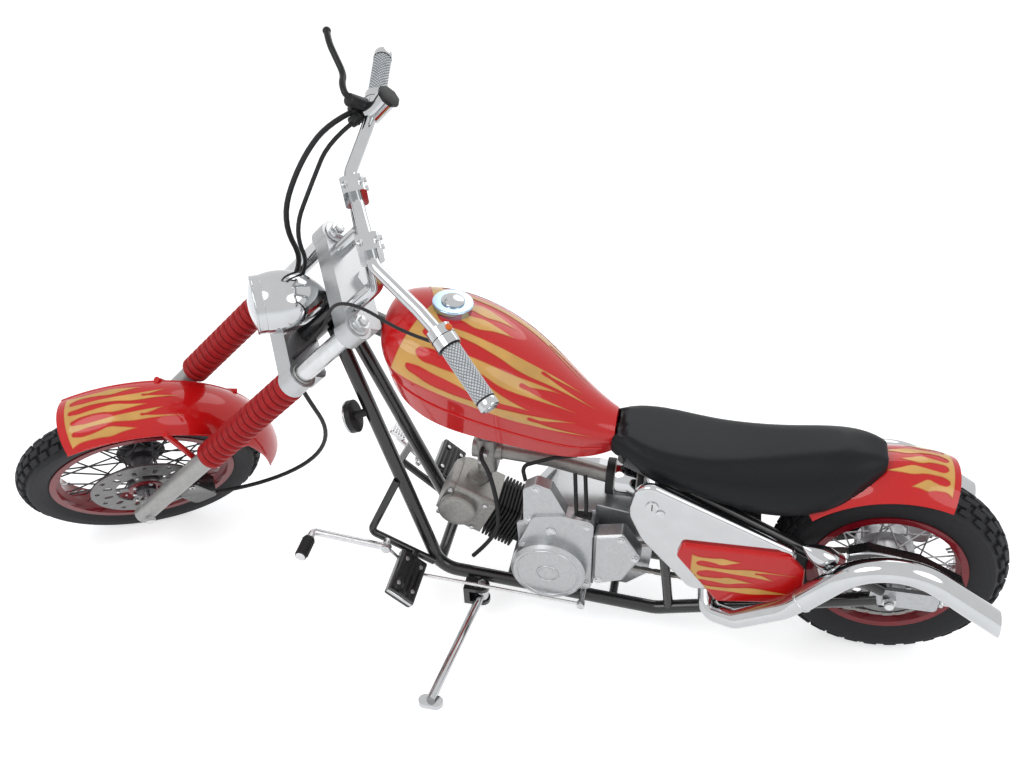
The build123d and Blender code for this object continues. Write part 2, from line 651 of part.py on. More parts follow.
right_face = Plane(origin=(0, -CASE_HALF, 0), x_dir=(1, 0, 0), z_dir=(0, -1, 0))
with BuildPart() as clutch_cover:
    with BuildSketch(right_face):
        with BuildLine():
            Polyline((-64, 240), (-68, 150), (-120, 124), (-290, 128), (-318, 190), (-300, 300), (-200, 322),
                     (-110, 310), close=True)
        make_face()
        fillet(vertices(), 14)
    extrude(amount=40)
    with BuildSketch(right_face.offset(40)):
        with Locations((CRANK_X - 10, CRANK_Z)):
            Circle(56)
        with Locations((CRANK_X - 95, CRANK_Z + 20)):
            Circle(58)
    extrude(amount=18)
keep("clutch_cover", clutch_cover)

BARREL = Plane(origin=(CRANK_X, 0, CRANK_Z), x_dir=(0, 1, 0),
               z_dir=(cos(radians(ENGINE_TILT)), 0, sin(radians(ENGINE_TILT))))
BARREL_FOOT = 78.0
BARREL_TOP = 150.0
HEAD_TOP = 254.0
HEAD_CAP = 66.0
with BuildPart() as cylinder:
    with BuildSketch(BARREL.offset(BARREL_FOOT - 8)):
        RectangleRounded(1.6 * BARREL_HALF, 1.6 * BARREL_HALF, 14)
    extrude(amount=BARREL_TOP - BARREL_FOOT + 8)
    for index in range(FIN_COUNT):
        with BuildSketch(BARREL.offset(BARREL_FOOT + 4 + index * 7.4)):
            RectangleRounded(2 * BARREL_HALF, 2 * BARREL_HALF, 10)
        extrude(amount=3.4)
    add(crankcase.part, mode=Mode.SUBTRACT)
    add(magneto_cover.part, mode=Mode.SUBTRACT)
    add(clutch_cover.part, mode=Mode.SUBTRACT)
keep("cylinder", cylinder)

with BuildPart() as cylinder_head:
    with BuildSketch(BARREL.offset(BARREL_TOP)):
        RectangleRounded(2 * BARREL_HALF, 2 * BARREL_HALF, 12)
    extrude(amount=HEAD_TOP - BARREL_TOP - 14)
    with BuildSketch(BARREL.offset(HEAD_TOP - 14)):
        RectangleRounded(2 * BARREL_HALF - 12, 2 * BARREL_HALF - 14, 16)
    extrude(amount=14)
    for face in (BARREL_HALF, -BARREL_HALF - 12):
        side = BARREL.from_local_coords(Vector(face, 0, BARREL_TOP + HEAD_CAP))
        with BuildSketch(Plane(origin=side, z_dir=(0, 1, 0))):
            Circle(37)
        extrude(amount=12)
    for face in (BARREL_HALF, -BARREL_HALF - 10):
        rocker = BARREL.from_local_coords(Vector(0, face, BARREL_TOP + 56))
        with BuildSketch(Plane(origin=rocker, z_dir=BARREL.y_dir)):
            Circle(21)
        extrude(amount=10)
keep("cylinder_head", cylinder_head)

intake_port = BARREL.from_local_coords(Vector(-14, BARREL_HALF - 2, BARREL_TOP + 40))
up_dir = BARREL.y_dir
CARB = Vector(18, -14, 388)
FILTER = Vector(-226, 0, 367)
FILTER_R = 35.0
with BuildPart() as carburettor:
    add(tube([intake_port, CARB], 14, 0))
    with BuildSketch(Plane(origin=CARB + Vector(30, 0, 0), z_dir=(-1, 0, 0))):
        Circle(20)
    extrude(amount=60)
    with BuildSketch(Plane(origin=CARB + Vector(0, 0, -44))):
        RectangleRounded(40, 44, 10)
    extrude(amount=80)
    add(tube([CARB, Vector(-110, -14, 380), FILTER - Vector(10, 0, 0)], 16, 60))
    with BuildSketch(Plane(origin=FILTER, z_dir=(-1, 0, 0))):
        Circle(FILTER_R)
    extrude(amount=74)
    add(cylinder_head.part, mode=Mode.SUBTRACT)
keep("carburettor", carburettor)

# Drive chain as one closed loop round the gearbox sprocket and the wheel's sprocket.
span = sqrt((DRIVE_X - REAR_X) ** 2 + (DRIVE_Z - REAR_R) ** 2)
CHAIN_CLEAR = 0.6


def chain_loop(grow):
    """The chain's outline at a height above the sprockets' tips."""
    big = SPROCKET_R + CHAIN_CLEAR + grow
    small = DRIVE_R + CHAIN_CLEAR + grow
    lean = (big - small) / span
    rise = sqrt(1 - lean * lean)
    ux, uz = (DRIVE_X - REAR_X) / span, (DRIVE_Z - REAR_R) / span
    rows = []
    for sign in (1, -1):
        nx, nz = ux * lean - sign * uz * rise, uz * lean + sign * ux * rise
        rows.append(((REAR_X + big * nx, REAR_R + big * nz), (DRIVE_X + small * nx, DRIVE_Z + small * nz)))
    with BuildSketch() as outline:
        with BuildLine():
            Line(rows[0][0], rows[0][1])
            ThreePointArc(rows[0][1], (DRIVE_X + small * ux, DRIVE_Z + small * uz), rows[1][1])
            Line(rows[1][1], rows[1][0])
            ThreePointArc(rows[1][0], (REAR_X - big * ux, REAR_R - big * uz), rows[0][0])
        make_face()
    return outline.sketch


CHAIN_PLANE = Plane(origin=(0, CHAIN_Y + CHAIN_W / 2, 0), x_dir=(1, 0, 0), z_dir=(0, -1, 0))
with BuildPart() as drive_chain:
    with BuildSketch(CHAIN_PLANE):
        add(chain_loop(CHAIN_H))
        add(chain_loop(0), mode=Mode.SUBTRACT)
    extrude(amount=CHAIN_W)
keep("drive_chain", drive_chain)

# Exhaust: a header down the right side, and two pipes from one cross pipe, arched over the axle.
pipe_route = [Vector(-440, 0, 196), Vector(-440, 66, 196), Vector(-448, 120, 150),
              Vector(-500, 152, 172), Vector(-592, 156, 226), Vector(-742, 164, 420),
              Vector(-975, 170, 270)]
SLEEVE_R = 23.0
BORE_DEPTH = 120.0
SLASH = 40.0
end_dir = (pipe_route[6] - pipe_route[5]).normalized()
sleeve_start = pipe_route[4] + (pipe_route[5] - pipe_route[4]) * 0.15
slash_face = Plane(origin=pipe_route[6], x_dir=(0, 1, 0), z_dir=end_dir)
with BuildPart() as exhaust_left:
    add(tube(pipe_route, PIPE_R, [30, 30, 30, 110, 130]))
    add(tube([sleeve_start, pipe_route[5], pipe_route[6]], SLEEVE_R, 130))
    with BuildSketch(slash_face.offset(-BORE_DEPTH)):
        Circle(SLEEVE_R - PIPE_WALL)
    extrude(amount=BORE_DEPTH + 10, mode=Mode.SUBTRACT)
    with BuildSketch(Plane(origin=pipe_route[6], x_dir=end_dir, z_dir=(0, 1, 0))):
        with BuildLine():
            Polyline((SLASH, -60), (SLASH, 60), (-SLASH / 2 - SLASH, 60), (0, -SLEEVE_R), (0, -60), close=True)
        make_face()
    extrude(amount=SLEEVE_R + 10, both=True, mode=Mode.SUBTRACT)
keep("exhaust_left", exhaust_left)

with BuildPart() as exhaust_right:
    add(exhaust_left.part)
    mirror(about=Plane.XZ, mode=Mode.REPLACE)
keep("exhaust_right", exhaust_right)

exhaust_port = BARREL.from_local_coords(Vector(-10, -BARREL_HALF, BARREL_TOP + 18))
with BuildPart() as exhaust_header:
    add(tube([exhaust_port, exhaust_port - up_dir * 46, Vector(40, -138, 142), Vector(-330, -138, 142),
              Vector(-440, -92, 172)], 15, 36))
    add(exhaust_right.part, mode=Mode.SUBTRACT)
keep("exhaust_header", exhaust_header)

# Fuel tank over the backbone, with its cap; the tunnel under it clears the tube.
def backbone_z(x):
    """Height of the backbone's middle at a distance behind the head."""
    return HEAD_NODE.Z + (SEAT_NODE.Z - HEAD_NODE.Z) * x / (HEAD_NODE.X - SEAT_NODE.X)


SHOULDER_OUT = 0.75
SHOULDER_DROP = 0.25
tank_rows = [
    # behind the head, then from the backbone's middle: low, low half width, wide, half width, top
    (101, -20, 44, 18, 66, 54),
    (139, -83, 78, -3, 106, 88),
    (269, -90, 84, 20, 118, 126),
    (419, -66, 62, 10, 84, 92),
    (527, -17, 28, 13, 40, 50),
]
with BuildPart() as fuel_tank:
    for back, low, low_half, wide, half, top in tank_rows:
        with BuildSketch(Plane(origin=(HEAD_NODE.X - back, 0, backbone_z(back)), x_dir=(0, 1, 0), z_dir=(1, 0, 0))):
            with BuildLine():
                shoulder = (SHOULDER_OUT * half, top - SHOULDER_DROP * (top - wide))
                Line((-low_half, low), (low_half, low))
                Line((low_half, low), (half, wide))
                crown = TangentArc((0, top), shoulder, tangent=(1, 0))
                side_arc = TangentArc(shoulder, (half, wide), tangent=crown % 1)
                mirror(crown, about=Plane.YZ)
                mirror(side_arc, about=Plane.YZ)
                Line((-half, wide), (-low_half, low))
            make_face()
    loft()
    run = SEAT_NODE - HEAD_NODE
    with BuildSketch(Plane(origin=HEAD_NODE, x_dir=(0, 1, 0), z_dir=run)):
        Circle(BACKBONE_R + SEAT_GAP)
    extrude(amount=run.length + 60, mode=Mode.SUBTRACT)
keep("fuel_tank", fuel_tank)

CAP_BACK = 217.0
CAP_R = 36.0
CAP_PLACE = Vector(HEAD_NODE.X - CAP_BACK, 0, backbone_z(CAP_BACK) + 98)
with BuildPart() as fuel_cap:
    with BuildSketch(Plane(origin=CAP_PLACE, z_dir=(-0.12, 0, 1))):
        Circle(CAP_R)
    extrude(amount=32)
    add(fuel_tank.part, mode=Mode.SUBTRACT)
keep("fuel_cap", fuel_cap)

# Seat on the stays and the mudguard, and the short rear mudguard.
with BuildPart() as rear_fender:
    add(fender_part(REAR_AXLE, REAR_FENDER_CROWN_R, REAR_FENDER_EDGE_R, REAR_FENDER_HALF, 46, 18))
keep("rear_fender", rear_fender)

seat_rows = [
    # x, then from the seat line: low and top; half width
    (-232, 2, 46, 50),
    (-330, -28, 28, 92),
    (-470, -84, 22, 97),
    (-590, -96, 42, 92),
    (-734, 16, 48, 34),
]
with BuildPart() as wheel_space:
    with BuildSketch(radial_plane(REAR_AXLE, 0)):
        with BuildLine():
            wide = REAR_FENDER_HALF + SEAT_GAP
            left_edge = (wide, REAR_FENDER_EDGE_R)
            right_edge = (-wide, REAR_FENDER_EDGE_R)
            ThreePointArc(right_edge, (0, REAR_FENDER_CROWN_R + SEAT_GAP), left_edge)
            Polyline(left_edge, (wide, REAR_FLANGE_R), (-wide, REAR_FLANGE_R), right_edge)
        make_face()
    revolve(axis=REAR_AXLE)

with BuildPart() as seat:
    for x, low, top, half in seat_rows:
        with BuildSketch(Plane(origin=(x, 0, SEAT_LINE + (low + top) / 2), x_dir=(0, 1, 0), z_dir=(1, 0, 0))):
            RectangleRounded(2 * half, top - low, 0.45 * min(top - low, 2 * half))
    loft()
    add(upper_stays.part, mode=Mode.SUBTRACT)
    add(wheel_space.part, mode=Mode.SUBTRACT)
    add(fuel_tank.part, mode=Mode.SUBTRACT)
    add(cross_tubes.part, mode=Mode.SUBTRACT)
    add(backbone.part, mode=Mode.SUBTRACT)
keep("seat", seat)

# Battery box in the middle of the frame, with a plated cover and a painted panel on each side.
with BuildPart() as battery_box:
    with BuildSketch(Plane(origin=(-440, 0, 240))):
        RectangleRounded(180, 84, 8)
    extrude(amount=90)
keep("battery_box", battery_box)

COVER_IN = 98.0
COVER_OUT = 118.0
side_plane = Plane(origin=(0, COVER_IN, 0), x_dir=(1, 0, 0), z_dir=(0, -1, 0))
with BuildPart() as side_covers:
    with BuildSketch(side_plane):
        with BuildLine():
            Polyline((-316, 462), (-288, 446), (-277, 384), (-306, 318), (-408, 200), (-592, 222), (-598, 336),
                     close=True)
        make_face()
        fillet(vertices(), 15)
    extrude(amount=COVER_IN - COVER_OUT)
    fillet(faces().sort_by(Axis.Y)[-1].edges(), 9)
    for x, y, z in ((-400, 42, 310), (-500, 42, 305), (-342, 78, 330)):
        add(tube([Vector(x, y, z), Vector(x, COVER_IN, z)], 8, 0))
    mirror(about=Plane.XZ)
    add(upper_stays.part, mode=Mode.SUBTRACT)
keep("side_covers", side_covers)

PANEL_OUT = 129.0
panel_plane = Plane(origin=(0, COVER_OUT, 0), x_dir=(1, 0, 0), z_dir=(0, -1, 0))
with BuildPart() as side_panels:
    with BuildSketch(panel_plane):
        with BuildLine():
            Polyline((-384, 330), (-376, 300), (-462, 188), (-580, 208), (-620, 252), (-616, 300), (-584, 336),
                     close=True)
        make_face()
        fillet(vertices(), 10)
    extrude(amount=COVER_OUT - PANEL_OUT)
    fillet(faces().sort_by(Axis.Y)[-1].edges(), 5)
    mirror(about=Plane.XZ)
keep("side_panels", side_panels)

# Rear bullet lamps on stalks from the stays, and the guard over the chain.
LAMP_TIP = Vector(-604, 112, 354)
LAMP_BACK = Vector(-0.88, 0, -0.475)
LAMP_CASE_R = 22.0
with BuildPart() as rear_lamps:
    with BuildSketch(Plane(origin=LAMP_TIP, x_dir=LAMP_BACK, z_dir=(0, -1, 0))):
        with BuildLine():
            ThreePointArc((0, 0), (24, 0.72 * LAMP_CASE_R), (68, LAMP_CASE_R))
            Line((68, LAMP_CASE_R), (80, LAMP_CASE_R))
            Line((80, LAMP_CASE_R), (80, 0))
            Line((80, 0), (0, 0))
        make_face()
    revolve(axis=Axis(LAMP_TIP, LAMP_BACK))
    add(tube([LAMP_TIP + LAMP_BACK * 48, Vector(-642, 84, 302)], 7, 0))
    mirror(about=Plane.XZ)
    add(upper_stays.part, mode=Mode.SUBTRACT)
keep("rear_lamps", rear_lamps)

with BuildPart() as chain_guard:
    with BuildSketch(Plane(origin=(REAR_X, 88, REAR_R), x_dir=(1, 0, 0), z_dir=(0, -1, 0))):
        with BuildLine():
            Polyline((90, 96), (58, 112), (-40, 98), (-126, 54), (-138, 28), (-112, 30), (-44, 66), (30, 74), (90, 74),
                     close=True)
        make_face()
    extrude(amount=22)
    add(tube([Vector(REAR_X + 54, 82, REAR_R + 90), Vector(REAR_X + 54, 88, REAR_R + 30)], 5, 0))
    add(upper_stays.part, mode=Mode.SUBTRACT)
keep("chain_guard", chain_guard)

# Foot controls: peg brackets from the cradle, pegs, gear lever with its rod, and brake pedal.
with BuildPart() as peg_brackets:
    add(tube([Vector(188, 66, 345), Vector(240, 108, 236), Vector(118, 90, 150)], 8, 14))
    mirror(about=Plane.XZ)
    add(cradle_left.part, mode=Mode.SUBTRACT)
    add(cradle_right.part, mode=Mode.SUBTRACT)
peg_plane = Plane(origin=(152, 104, 182), x_dir=(0.77, 0, 0.64), z_dir=(0, 1, 0))
with BuildPart() as pegs:
    add(peg_brackets.part)
    with BuildSketch(peg_plane.offset(16)):
        RectangleRounded(62, 22, 6)
    extrude(amount=104)
    with BuildSketch(peg_plane):
        Circle(9)
    extrude(amount=16)
    mirror(about=Plane.XZ)
    add(cradle_left.part, mode=Mode.SUBTRACT)
    add(cradle_right.part, mode=Mode.SUBTRACT)
keep("pegs", pegs)

with BuildPart() as gear_lever:
    add(tube([Vector(206, 116, 222), Vector(200, 134, 222), Vector(350, 140, 246), Vector(352, 208, 246)], 7.5, 8))
    add(tube([Vector(351, 158, 246), Vector(352, 210, 246)], 10, 0))
    add(tube([Vector(200, 134, 222), Vector(150, 126, 146), Vector(-196, 122, 117)], 3.5, 12))
    add(tube([Vector(-196, 56, 122), Vector(-196, 126, 117)], 6, 0))
    add(pegs.part, mode=Mode.SUBTRACT)
    add(crankcase.part, mode=Mode.SUBTRACT)
    add(magneto_cover.part, mode=Mode.SUBTRACT)
keep("gear_lever", gear_lever)

with BuildPart() as brake_pedal:
    add(tube([Vector(206, -116, 222), Vector(200, -134, 222), Vector(258, -150, 264)], 6, 5))
    with BuildSketch(Plane(origin=(258, -176, 268), x_dir=(0, 1, 0), z_dir=(-0.6, 0, 0.8))):
        RectangleRounded(64, 40, 8)
    extrude(amount=8)
    add(pegs.part, mode=Mode.SUBTRACT)
keep("brake_pedal", brake_pedal)

# Horn on the left down tube, leads out of the engine's cover, and the tank's loose overflow hose.
HORN_R = 32.0
HORN = Vector(258, 60, 498)
HORN_FACE = Vector(0.95, 0.1, -0.31)
with BuildPart() as horn:
    with BuildSketch(Plane(origin=HORN, z_dir=HORN_FACE)):
        Circle(HORN_R)
    extrude(amount=14)
    add(tube([Vector(233, 40, 500), HORN + HORN_FACE * 4], 8, 0))
    add(cradle_left.part, mode=Mode.SUBTRACT)
keep("horn", horn)

LEAD_R = 4.0
with BuildPart() as engine_leads:
    add(tube([Vector(-176, 76, 316), Vector(-174, 72, 346), Vector(-166, 40, 400)], LEAD_R, 20))
    add(tube([Vector(-194, 76, 316), Vector(-194, 72, 346), Vector(-186, 40, 398)], LEAD_R, 20))
    add(tube([Vector(-70, 50, 372), Vector(-60, 34, 396), Vector(-120, 26, 420), Vector(-166, 20, 428)], LEAD_R, 14))
    add(magneto_cover.part, mode=Mode.SUBTRACT)
keep("engine_leads", engine_leads)

HOSE_R = 4.5
with BuildPart() as overflow_hose:
    add(tube([Vector(24, 4, 404), Vector(24, 44, 420), Vector(-2, 62, 392), Vector(-18, 66, 300),
              Vector(-14, 66, 226), Vector(40, 66, 156)], HOSE_R, [20, 20, 60, 40]))
    add(carburettor.part, mode=Mode.SUBTRACT)
keep("overflow_hose", overflow_hose)

# Parked stance: the ground under both tyres, found from the lean and the turned front wheel.


def turn_fork(point):
    """Turn a point about the steering axis onto the left stop."""
    arm = point - FORK_FOOT
    angle = radians(STEER_LOCK)
    along = AXIS_UP * arm.dot(AXIS_UP)
    return FORK_FOOT + along + (arm - along) * cos(angle) + AXIS_UP.cross(arm) * sin(angle)


front_centre = turn_fork(Vector(FRONT_X, 0, FRONT_R))
front_side = turn_fork(Vector(FRONT_X, 1, FRONT_R)) - front_centre


def ground_normal(pitch):
    """The ground's upward direction, seen from the leaning motorcycle."""
    return Vector(sin(radians(pitch)), -sin(radians(LEAN)), cos(radians(LEAN))).normalized()


def lowest(centre, side, radius, crown, up):
    """How low a tyre reaches along a direction."""
    tilt = side.dot(up)
    return centre.dot(up) - (radius - crown) * sqrt(1 - tilt * tilt) - crown


low_pitch, high_pitch = -5.0, 5.0
for step in range(60):
    pitch = (low_pitch + high_pitch) / 2
    up = ground_normal(pitch)
    front_low = lowest(front_centre, front_side, FRONT_R, FRONT_CROWN, up)
    rear_low = lowest(Vector(REAR_X, 0, REAR_R), Vector(0, 1, 0), REAR_R, REAR_CROWN, up)
    if front_low > rear_low:
        high_pitch = pitch
    else:
        low_pitch = pitch
ground_up = ground_normal(pitch)
ground_level = (front_low + rear_low) / 2
GROUND = Plane(origin=ground_up * ground_level, x_dir=Vector(1, 0, 0) - ground_up * ground_up.X, z_dir=ground_up)

# Side stand: a bracket under the left rail, and a leg whose foot stands on the ground.
PIVOT = Vector(12, 112, 100)
FOOT_X = 58.0
FOOT_Y = 364.0
FOOT_T = 10.0
foot_z = (ground_level + FOOT_T - FOOT_X * ground_up.X - FOOT_Y * ground_up.Y) / ground_up.Z
FOOT_TOP = Vector(FOOT_X, FOOT_Y, foot_z)
STAND_AXIS = Vector(0, 0.05, 1).normalized()
with BuildPart() as stand_bracket:
    with BuildSketch(Plane(origin=PIVOT - STAND_AXIS * 24, z_dir=STAND_AXIS)):
        Circle(16)
        with Locations((0, -18)):
            Rectangle(32, 36)
    extrude(amount=9)
    with BuildSketch(Plane(origin=PIVOT + STAND_AXIS * 15, z_dir=STAND_AXIS)):
        Circle(16)
        with Locations((0, -18)):
            Rectangle(32, 36)
    extrude(amount=9)
    with BuildSketch(Plane(origin=PIVOT - STAND_AXIS * 24, z_dir=STAND_AXIS)):
        Circle(6)
    extrude(amount=52)
    with BuildSketch(Plane(origin=PIVOT - STAND_AXIS * 24, z_dir=STAND_AXIS)):
        with Locations((0, -30)):
            Rectangle(32, 12)
    extrude(amount=48)
    add(cradle_left.part, mode=Mode.SUBTRACT)
keep("stand_bracket", stand_bracket)

with BuildPart() as side_stand:
    with BuildSketch(Plane(origin=PIVOT - STAND_AXIS * 14, z_dir=STAND_AXIS)):
        Circle(13)
    extrude(amount=28)
    add(tube([PIVOT, FOOT_TOP + ground_up * 2], 9, 0))
    with BuildSketch(Plane(origin=FOOT_TOP - ground_up * FOOT_T, x_dir=(1, 0, 0), z_dir=ground_up)):
        SlotOverall(48, 28)
    extrude(amount=FOOT_T)
    with BuildSketch(Plane(origin=PIVOT - STAND_AXIS * 40, z_dir=STAND_AXIS)):
        Circle(6 + RUNNING_FIT)
    extrude(amount=80, mode=Mode.SUBTRACT)
    with BuildSketch(Plane(origin=FOOT_TOP - ground_up * (FOOT_T + 60), z_dir=ground_up)):
        Circle(90)
    extrude(amount=60, mode=Mode.SUBTRACT)
keep("side_stand", side_stand)

# Park every piece, with the origin on the ground under the middle of the whole.
parked = []
for name, solid, turned in pieces:
    placed = solid.rotate(STEER_AXIS, STEER_LOCK) if turned else solid
    placed = GROUND.to_local_coords(placed)
    placed.label = name
    parked.append(placed)

box = Compound(children=[Compound(p.wrapped) for p in parked]).bounding_box()
middle = Vector((box.min.X + box.max.X) / 2, (box.min.Y + box.max.Y) / 2, box.min.Z)

os.makedirs("parts", exist_ok=True)
for placed in parked:
    shifted = placed.moved(Location(-middle))
    shifted.label = placed.label
    export_step(shifted, f"parts/{placed.label}.step")
    print(placed.label, round(shifted.volume / 1000, 1))
print("size", box.size, "middle", middle, "pitch", pitch)
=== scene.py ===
from math import atan2, cos, pi, radians, sin, sqrt

import bpy
from mathutils import Matrix, Vector
from mathutils.bvhtree import BVHTree


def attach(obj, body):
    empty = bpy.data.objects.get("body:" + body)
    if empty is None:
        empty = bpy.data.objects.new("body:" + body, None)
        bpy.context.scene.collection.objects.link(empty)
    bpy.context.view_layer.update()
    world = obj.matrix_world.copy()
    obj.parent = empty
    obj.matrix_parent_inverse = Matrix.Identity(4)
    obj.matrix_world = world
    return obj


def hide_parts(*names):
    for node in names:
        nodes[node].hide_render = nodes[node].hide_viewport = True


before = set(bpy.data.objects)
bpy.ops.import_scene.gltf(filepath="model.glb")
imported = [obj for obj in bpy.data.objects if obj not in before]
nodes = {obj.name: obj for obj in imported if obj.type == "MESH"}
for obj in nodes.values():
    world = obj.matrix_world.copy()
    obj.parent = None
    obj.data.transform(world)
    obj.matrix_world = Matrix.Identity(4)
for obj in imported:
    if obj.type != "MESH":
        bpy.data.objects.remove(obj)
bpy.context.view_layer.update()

# Parked stance. The motorcycle leans on its side stand with the fork on its left stop, and FORWARD,
# LEFTWARD and UPWARD are the room's axes as the leaning motorcycle has them. Pieces are drawn upright
# and straight, in metres, then set down by PARKED for what the frame carries or TURNED for what steers.
FORWARD = Vector((0.999914, -0.001598, 0.013016))
LEFTWARD = Vector((0.0, 0.992546, 0.121869))
UPWARD = Vector((-0.013114, -0.121859, 0.992461))
GROUND_POINT = Vector((-0.00012988, -0.00120687, 0.00982914))
MIDDLE = Vector((-0.00009944, 0.10161918, 0.0))
PARKED = Matrix((FORWARD, LEFTWARD, UPWARD)).to_4x4()
PARKED.translation = -(PARKED.to_3x3() @ GROUND_POINT) - MIDDLE
RAKE = radians(44)
STEER_LOCK = radians(37)
FORK_UP = Vector((-sin(RAKE), 0, cos(RAKE)))
FORK_FRONT = Vector((cos(RAKE), 0, sin(RAKE)))
FRONT_AXLE = Vector((0.784, 0, 0.2485))
REAR_AXLE = Vector((-0.784, 0, 0.228))
FORK_FOOT = FRONT_AXLE - FORK_FRONT * 0.035
TURNED = (PARKED @ Matrix.Translation(FORK_FOOT) @ Matrix.Rotation(STEER_LOCK, 4, FORK_UP)
          @ Matrix.Translation(-FORK_FOOT))


def on_bike(x, y, z):
    """A point of the upright motorcycle, from millimetres."""
    return Vector((x, y, z)) / 1000


def on_fork(n, y, s):
    """A point of the straight fork: forward of the steering axis, to the left, up the axis."""
    return FORK_FOOT + FORK_FRONT * (n / 1000) + Vector((0, y / 1000, 0)) + FORK_UP * (s / 1000)


# Photographer's place: a camera above the left side, looking down on the parked motorcycle,
# with its frame shifted a little to keep the whole of it in view.
camera_data = bpy.data.cameras.new("camera")
camera_data.lens = 37.53
camera_data.sensor_width = 36
camera_data.shift_x = -0.0294
camera_data.shift_y = -0.0008
camera_data.clip_end = 100
camera = bpy.data.objects.new("camera", camera_data)
bpy.context.scene.collection.objects.link(camera)
yaw, pitch = radians(10.22), radians(-38.16)
aim = Vector((sin(yaw) * cos(pitch), -cos(yaw) * cos(pitch), sin(pitch)))
across = aim.cross(Vector((0, 0, 1))).normalized()
above = across.cross(aim)
sight = Matrix((across, above, -aim)).transposed().to_4x4()
sight.translation = on_bike(-372, 1543, 1812)
camera.matrix_world = PARKED @ sight
bpy.context.scene.camera = camera

# Studio: a wide pale floor, an even white surround and three large soft lamps.
# The surround is plain white to the eye and in reflections, and lights the object more gently.
scene = bpy.context.scene
scene.view_settings.view_transform = "Standard"


def wire(tree, *links):
    """Link nodes, each link from a node's output to another node's input."""
    for giver, output, taker, socket in links:
        tree.links.new(giver.outputs[output], taker.inputs[socket])


world = bpy.data.worlds.new("surround")
scene.world = world
world.use_nodes = True
sky = world.node_tree
sky.nodes.clear()
path = sky.nodes.new("ShaderNodeLightPath")
seen = sky.nodes.new("ShaderNodeMath")
seen.operation = "MAXIMUM"
seen_too = sky.nodes.new("ShaderNodeMath")
seen_too.operation = "MAXIMUM"
gentle = sky.nodes.new("ShaderNodeBackground")
gentle.inputs["Color"].default_value = (0.93, 0.96, 1.0, 1)
gentle.inputs["Strength"].default_value = 0.5
plain = sky.nodes.new("ShaderNodeBackground")
plain.inputs["Color"].default_value = (1, 1, 1, 1)
plain.inputs["Strength"].default_value = 1.0
choose = sky.nodes.new("ShaderNodeMixShader")
surround = sky.nodes.new("ShaderNodeOutputWorld")
wire(sky, (path, "Is Camera Ray", seen, 0), (path, "Is Glossy Ray", seen, 1), (seen, 0, seen_too, 0),
     (path, "Is Transmission Ray", seen_too, 1), (seen_too, 0, choose, 0), (gentle, 0, choose, 1),
     (plain, 0, choose, 2), (choose, 0, surround, "Surface"))

for lamp_name, place, size, power in (
        ("key_lamp", (1.4, 2.2, 3.0), 2.2, 40), ("fill_lamp", (-2.6, 1.4, 2.4), 2.0, 20),
        ("back_lamp", (-0.6, -2.6, 2.6), 2.4, 22)):
    lamp_data = bpy.data.lights.new(lamp_name, "AREA")
    lamp_data.shape = "DISK"
    lamp_data.size = size
    lamp_data.energy = power
    lamp = bpy.data.objects.new(lamp_name, lamp_data)
    scene.collection.objects.link(lamp)
    lamp.location = place
    lamp.rotation_euler = (Vector((0, 0, 0.4)) - Vector(place)).to_track_quat("-Z", "Y").to_euler()


def start(add, **sizes):
    """A new primitive, selected alone."""
    bpy.ops.object.select_all(action="DESELECT")
    add(**sizes)
    return bpy.context.object


floor = start(bpy.ops.mesh.primitive_circle_add, vertices=96, radius=14, fill_type="NGON")
floor.name = "studio_floor"
floor_paint = bpy.data.materials.new("pale_floor")
floor_paint.use_nodes = True
tree = floor_paint.node_tree
chalk = tree.nodes["Principled BSDF"]
chalk.inputs["Roughness"].default_value = 0.9
chalk.inputs["Specular IOR Level"].default_value = 0.1
dust = tree.nodes.new("ShaderNodeTexNoise")
dust.inputs["Scale"].default_value = 3.0
shade = tree.nodes.new("ShaderNodeValToRGB")
shade.color_ramp.elements[0].color = (0.86, 0.86, 0.86, 1)
shade.color_ramp.elements[1].color = (0.9, 0.9, 0.9, 1)
path = tree.nodes.new("ShaderNodeLightPath")
seen = tree.nodes.new("ShaderNodeMath")
seen.operation = "MAXIMUM"
lift = tree.nodes.new("ShaderNodeMath")
lift.operation = "MULTIPLY"
lift.inputs[1].default_value = 0.6
chalk.inputs["Emission Color"].default_value = (1, 1, 1, 1)
wire(tree, (dust, "Fac", shade, "Fac"), (shade, "Color", chalk, "Base Color"),
     (path, "Is Camera Ray", seen, 0), (path, "Is Glossy Ray", seen, 1), (seen, 0, lift, 0),
     (lift, 0, chalk, "Emission Strength"))
floor.data.materials.append(floor_paint)

# Tyres: black moulded rubber, a smooth carcass with rounded walls and raised tread blocks
# in staggered rows, stretched over the rims.


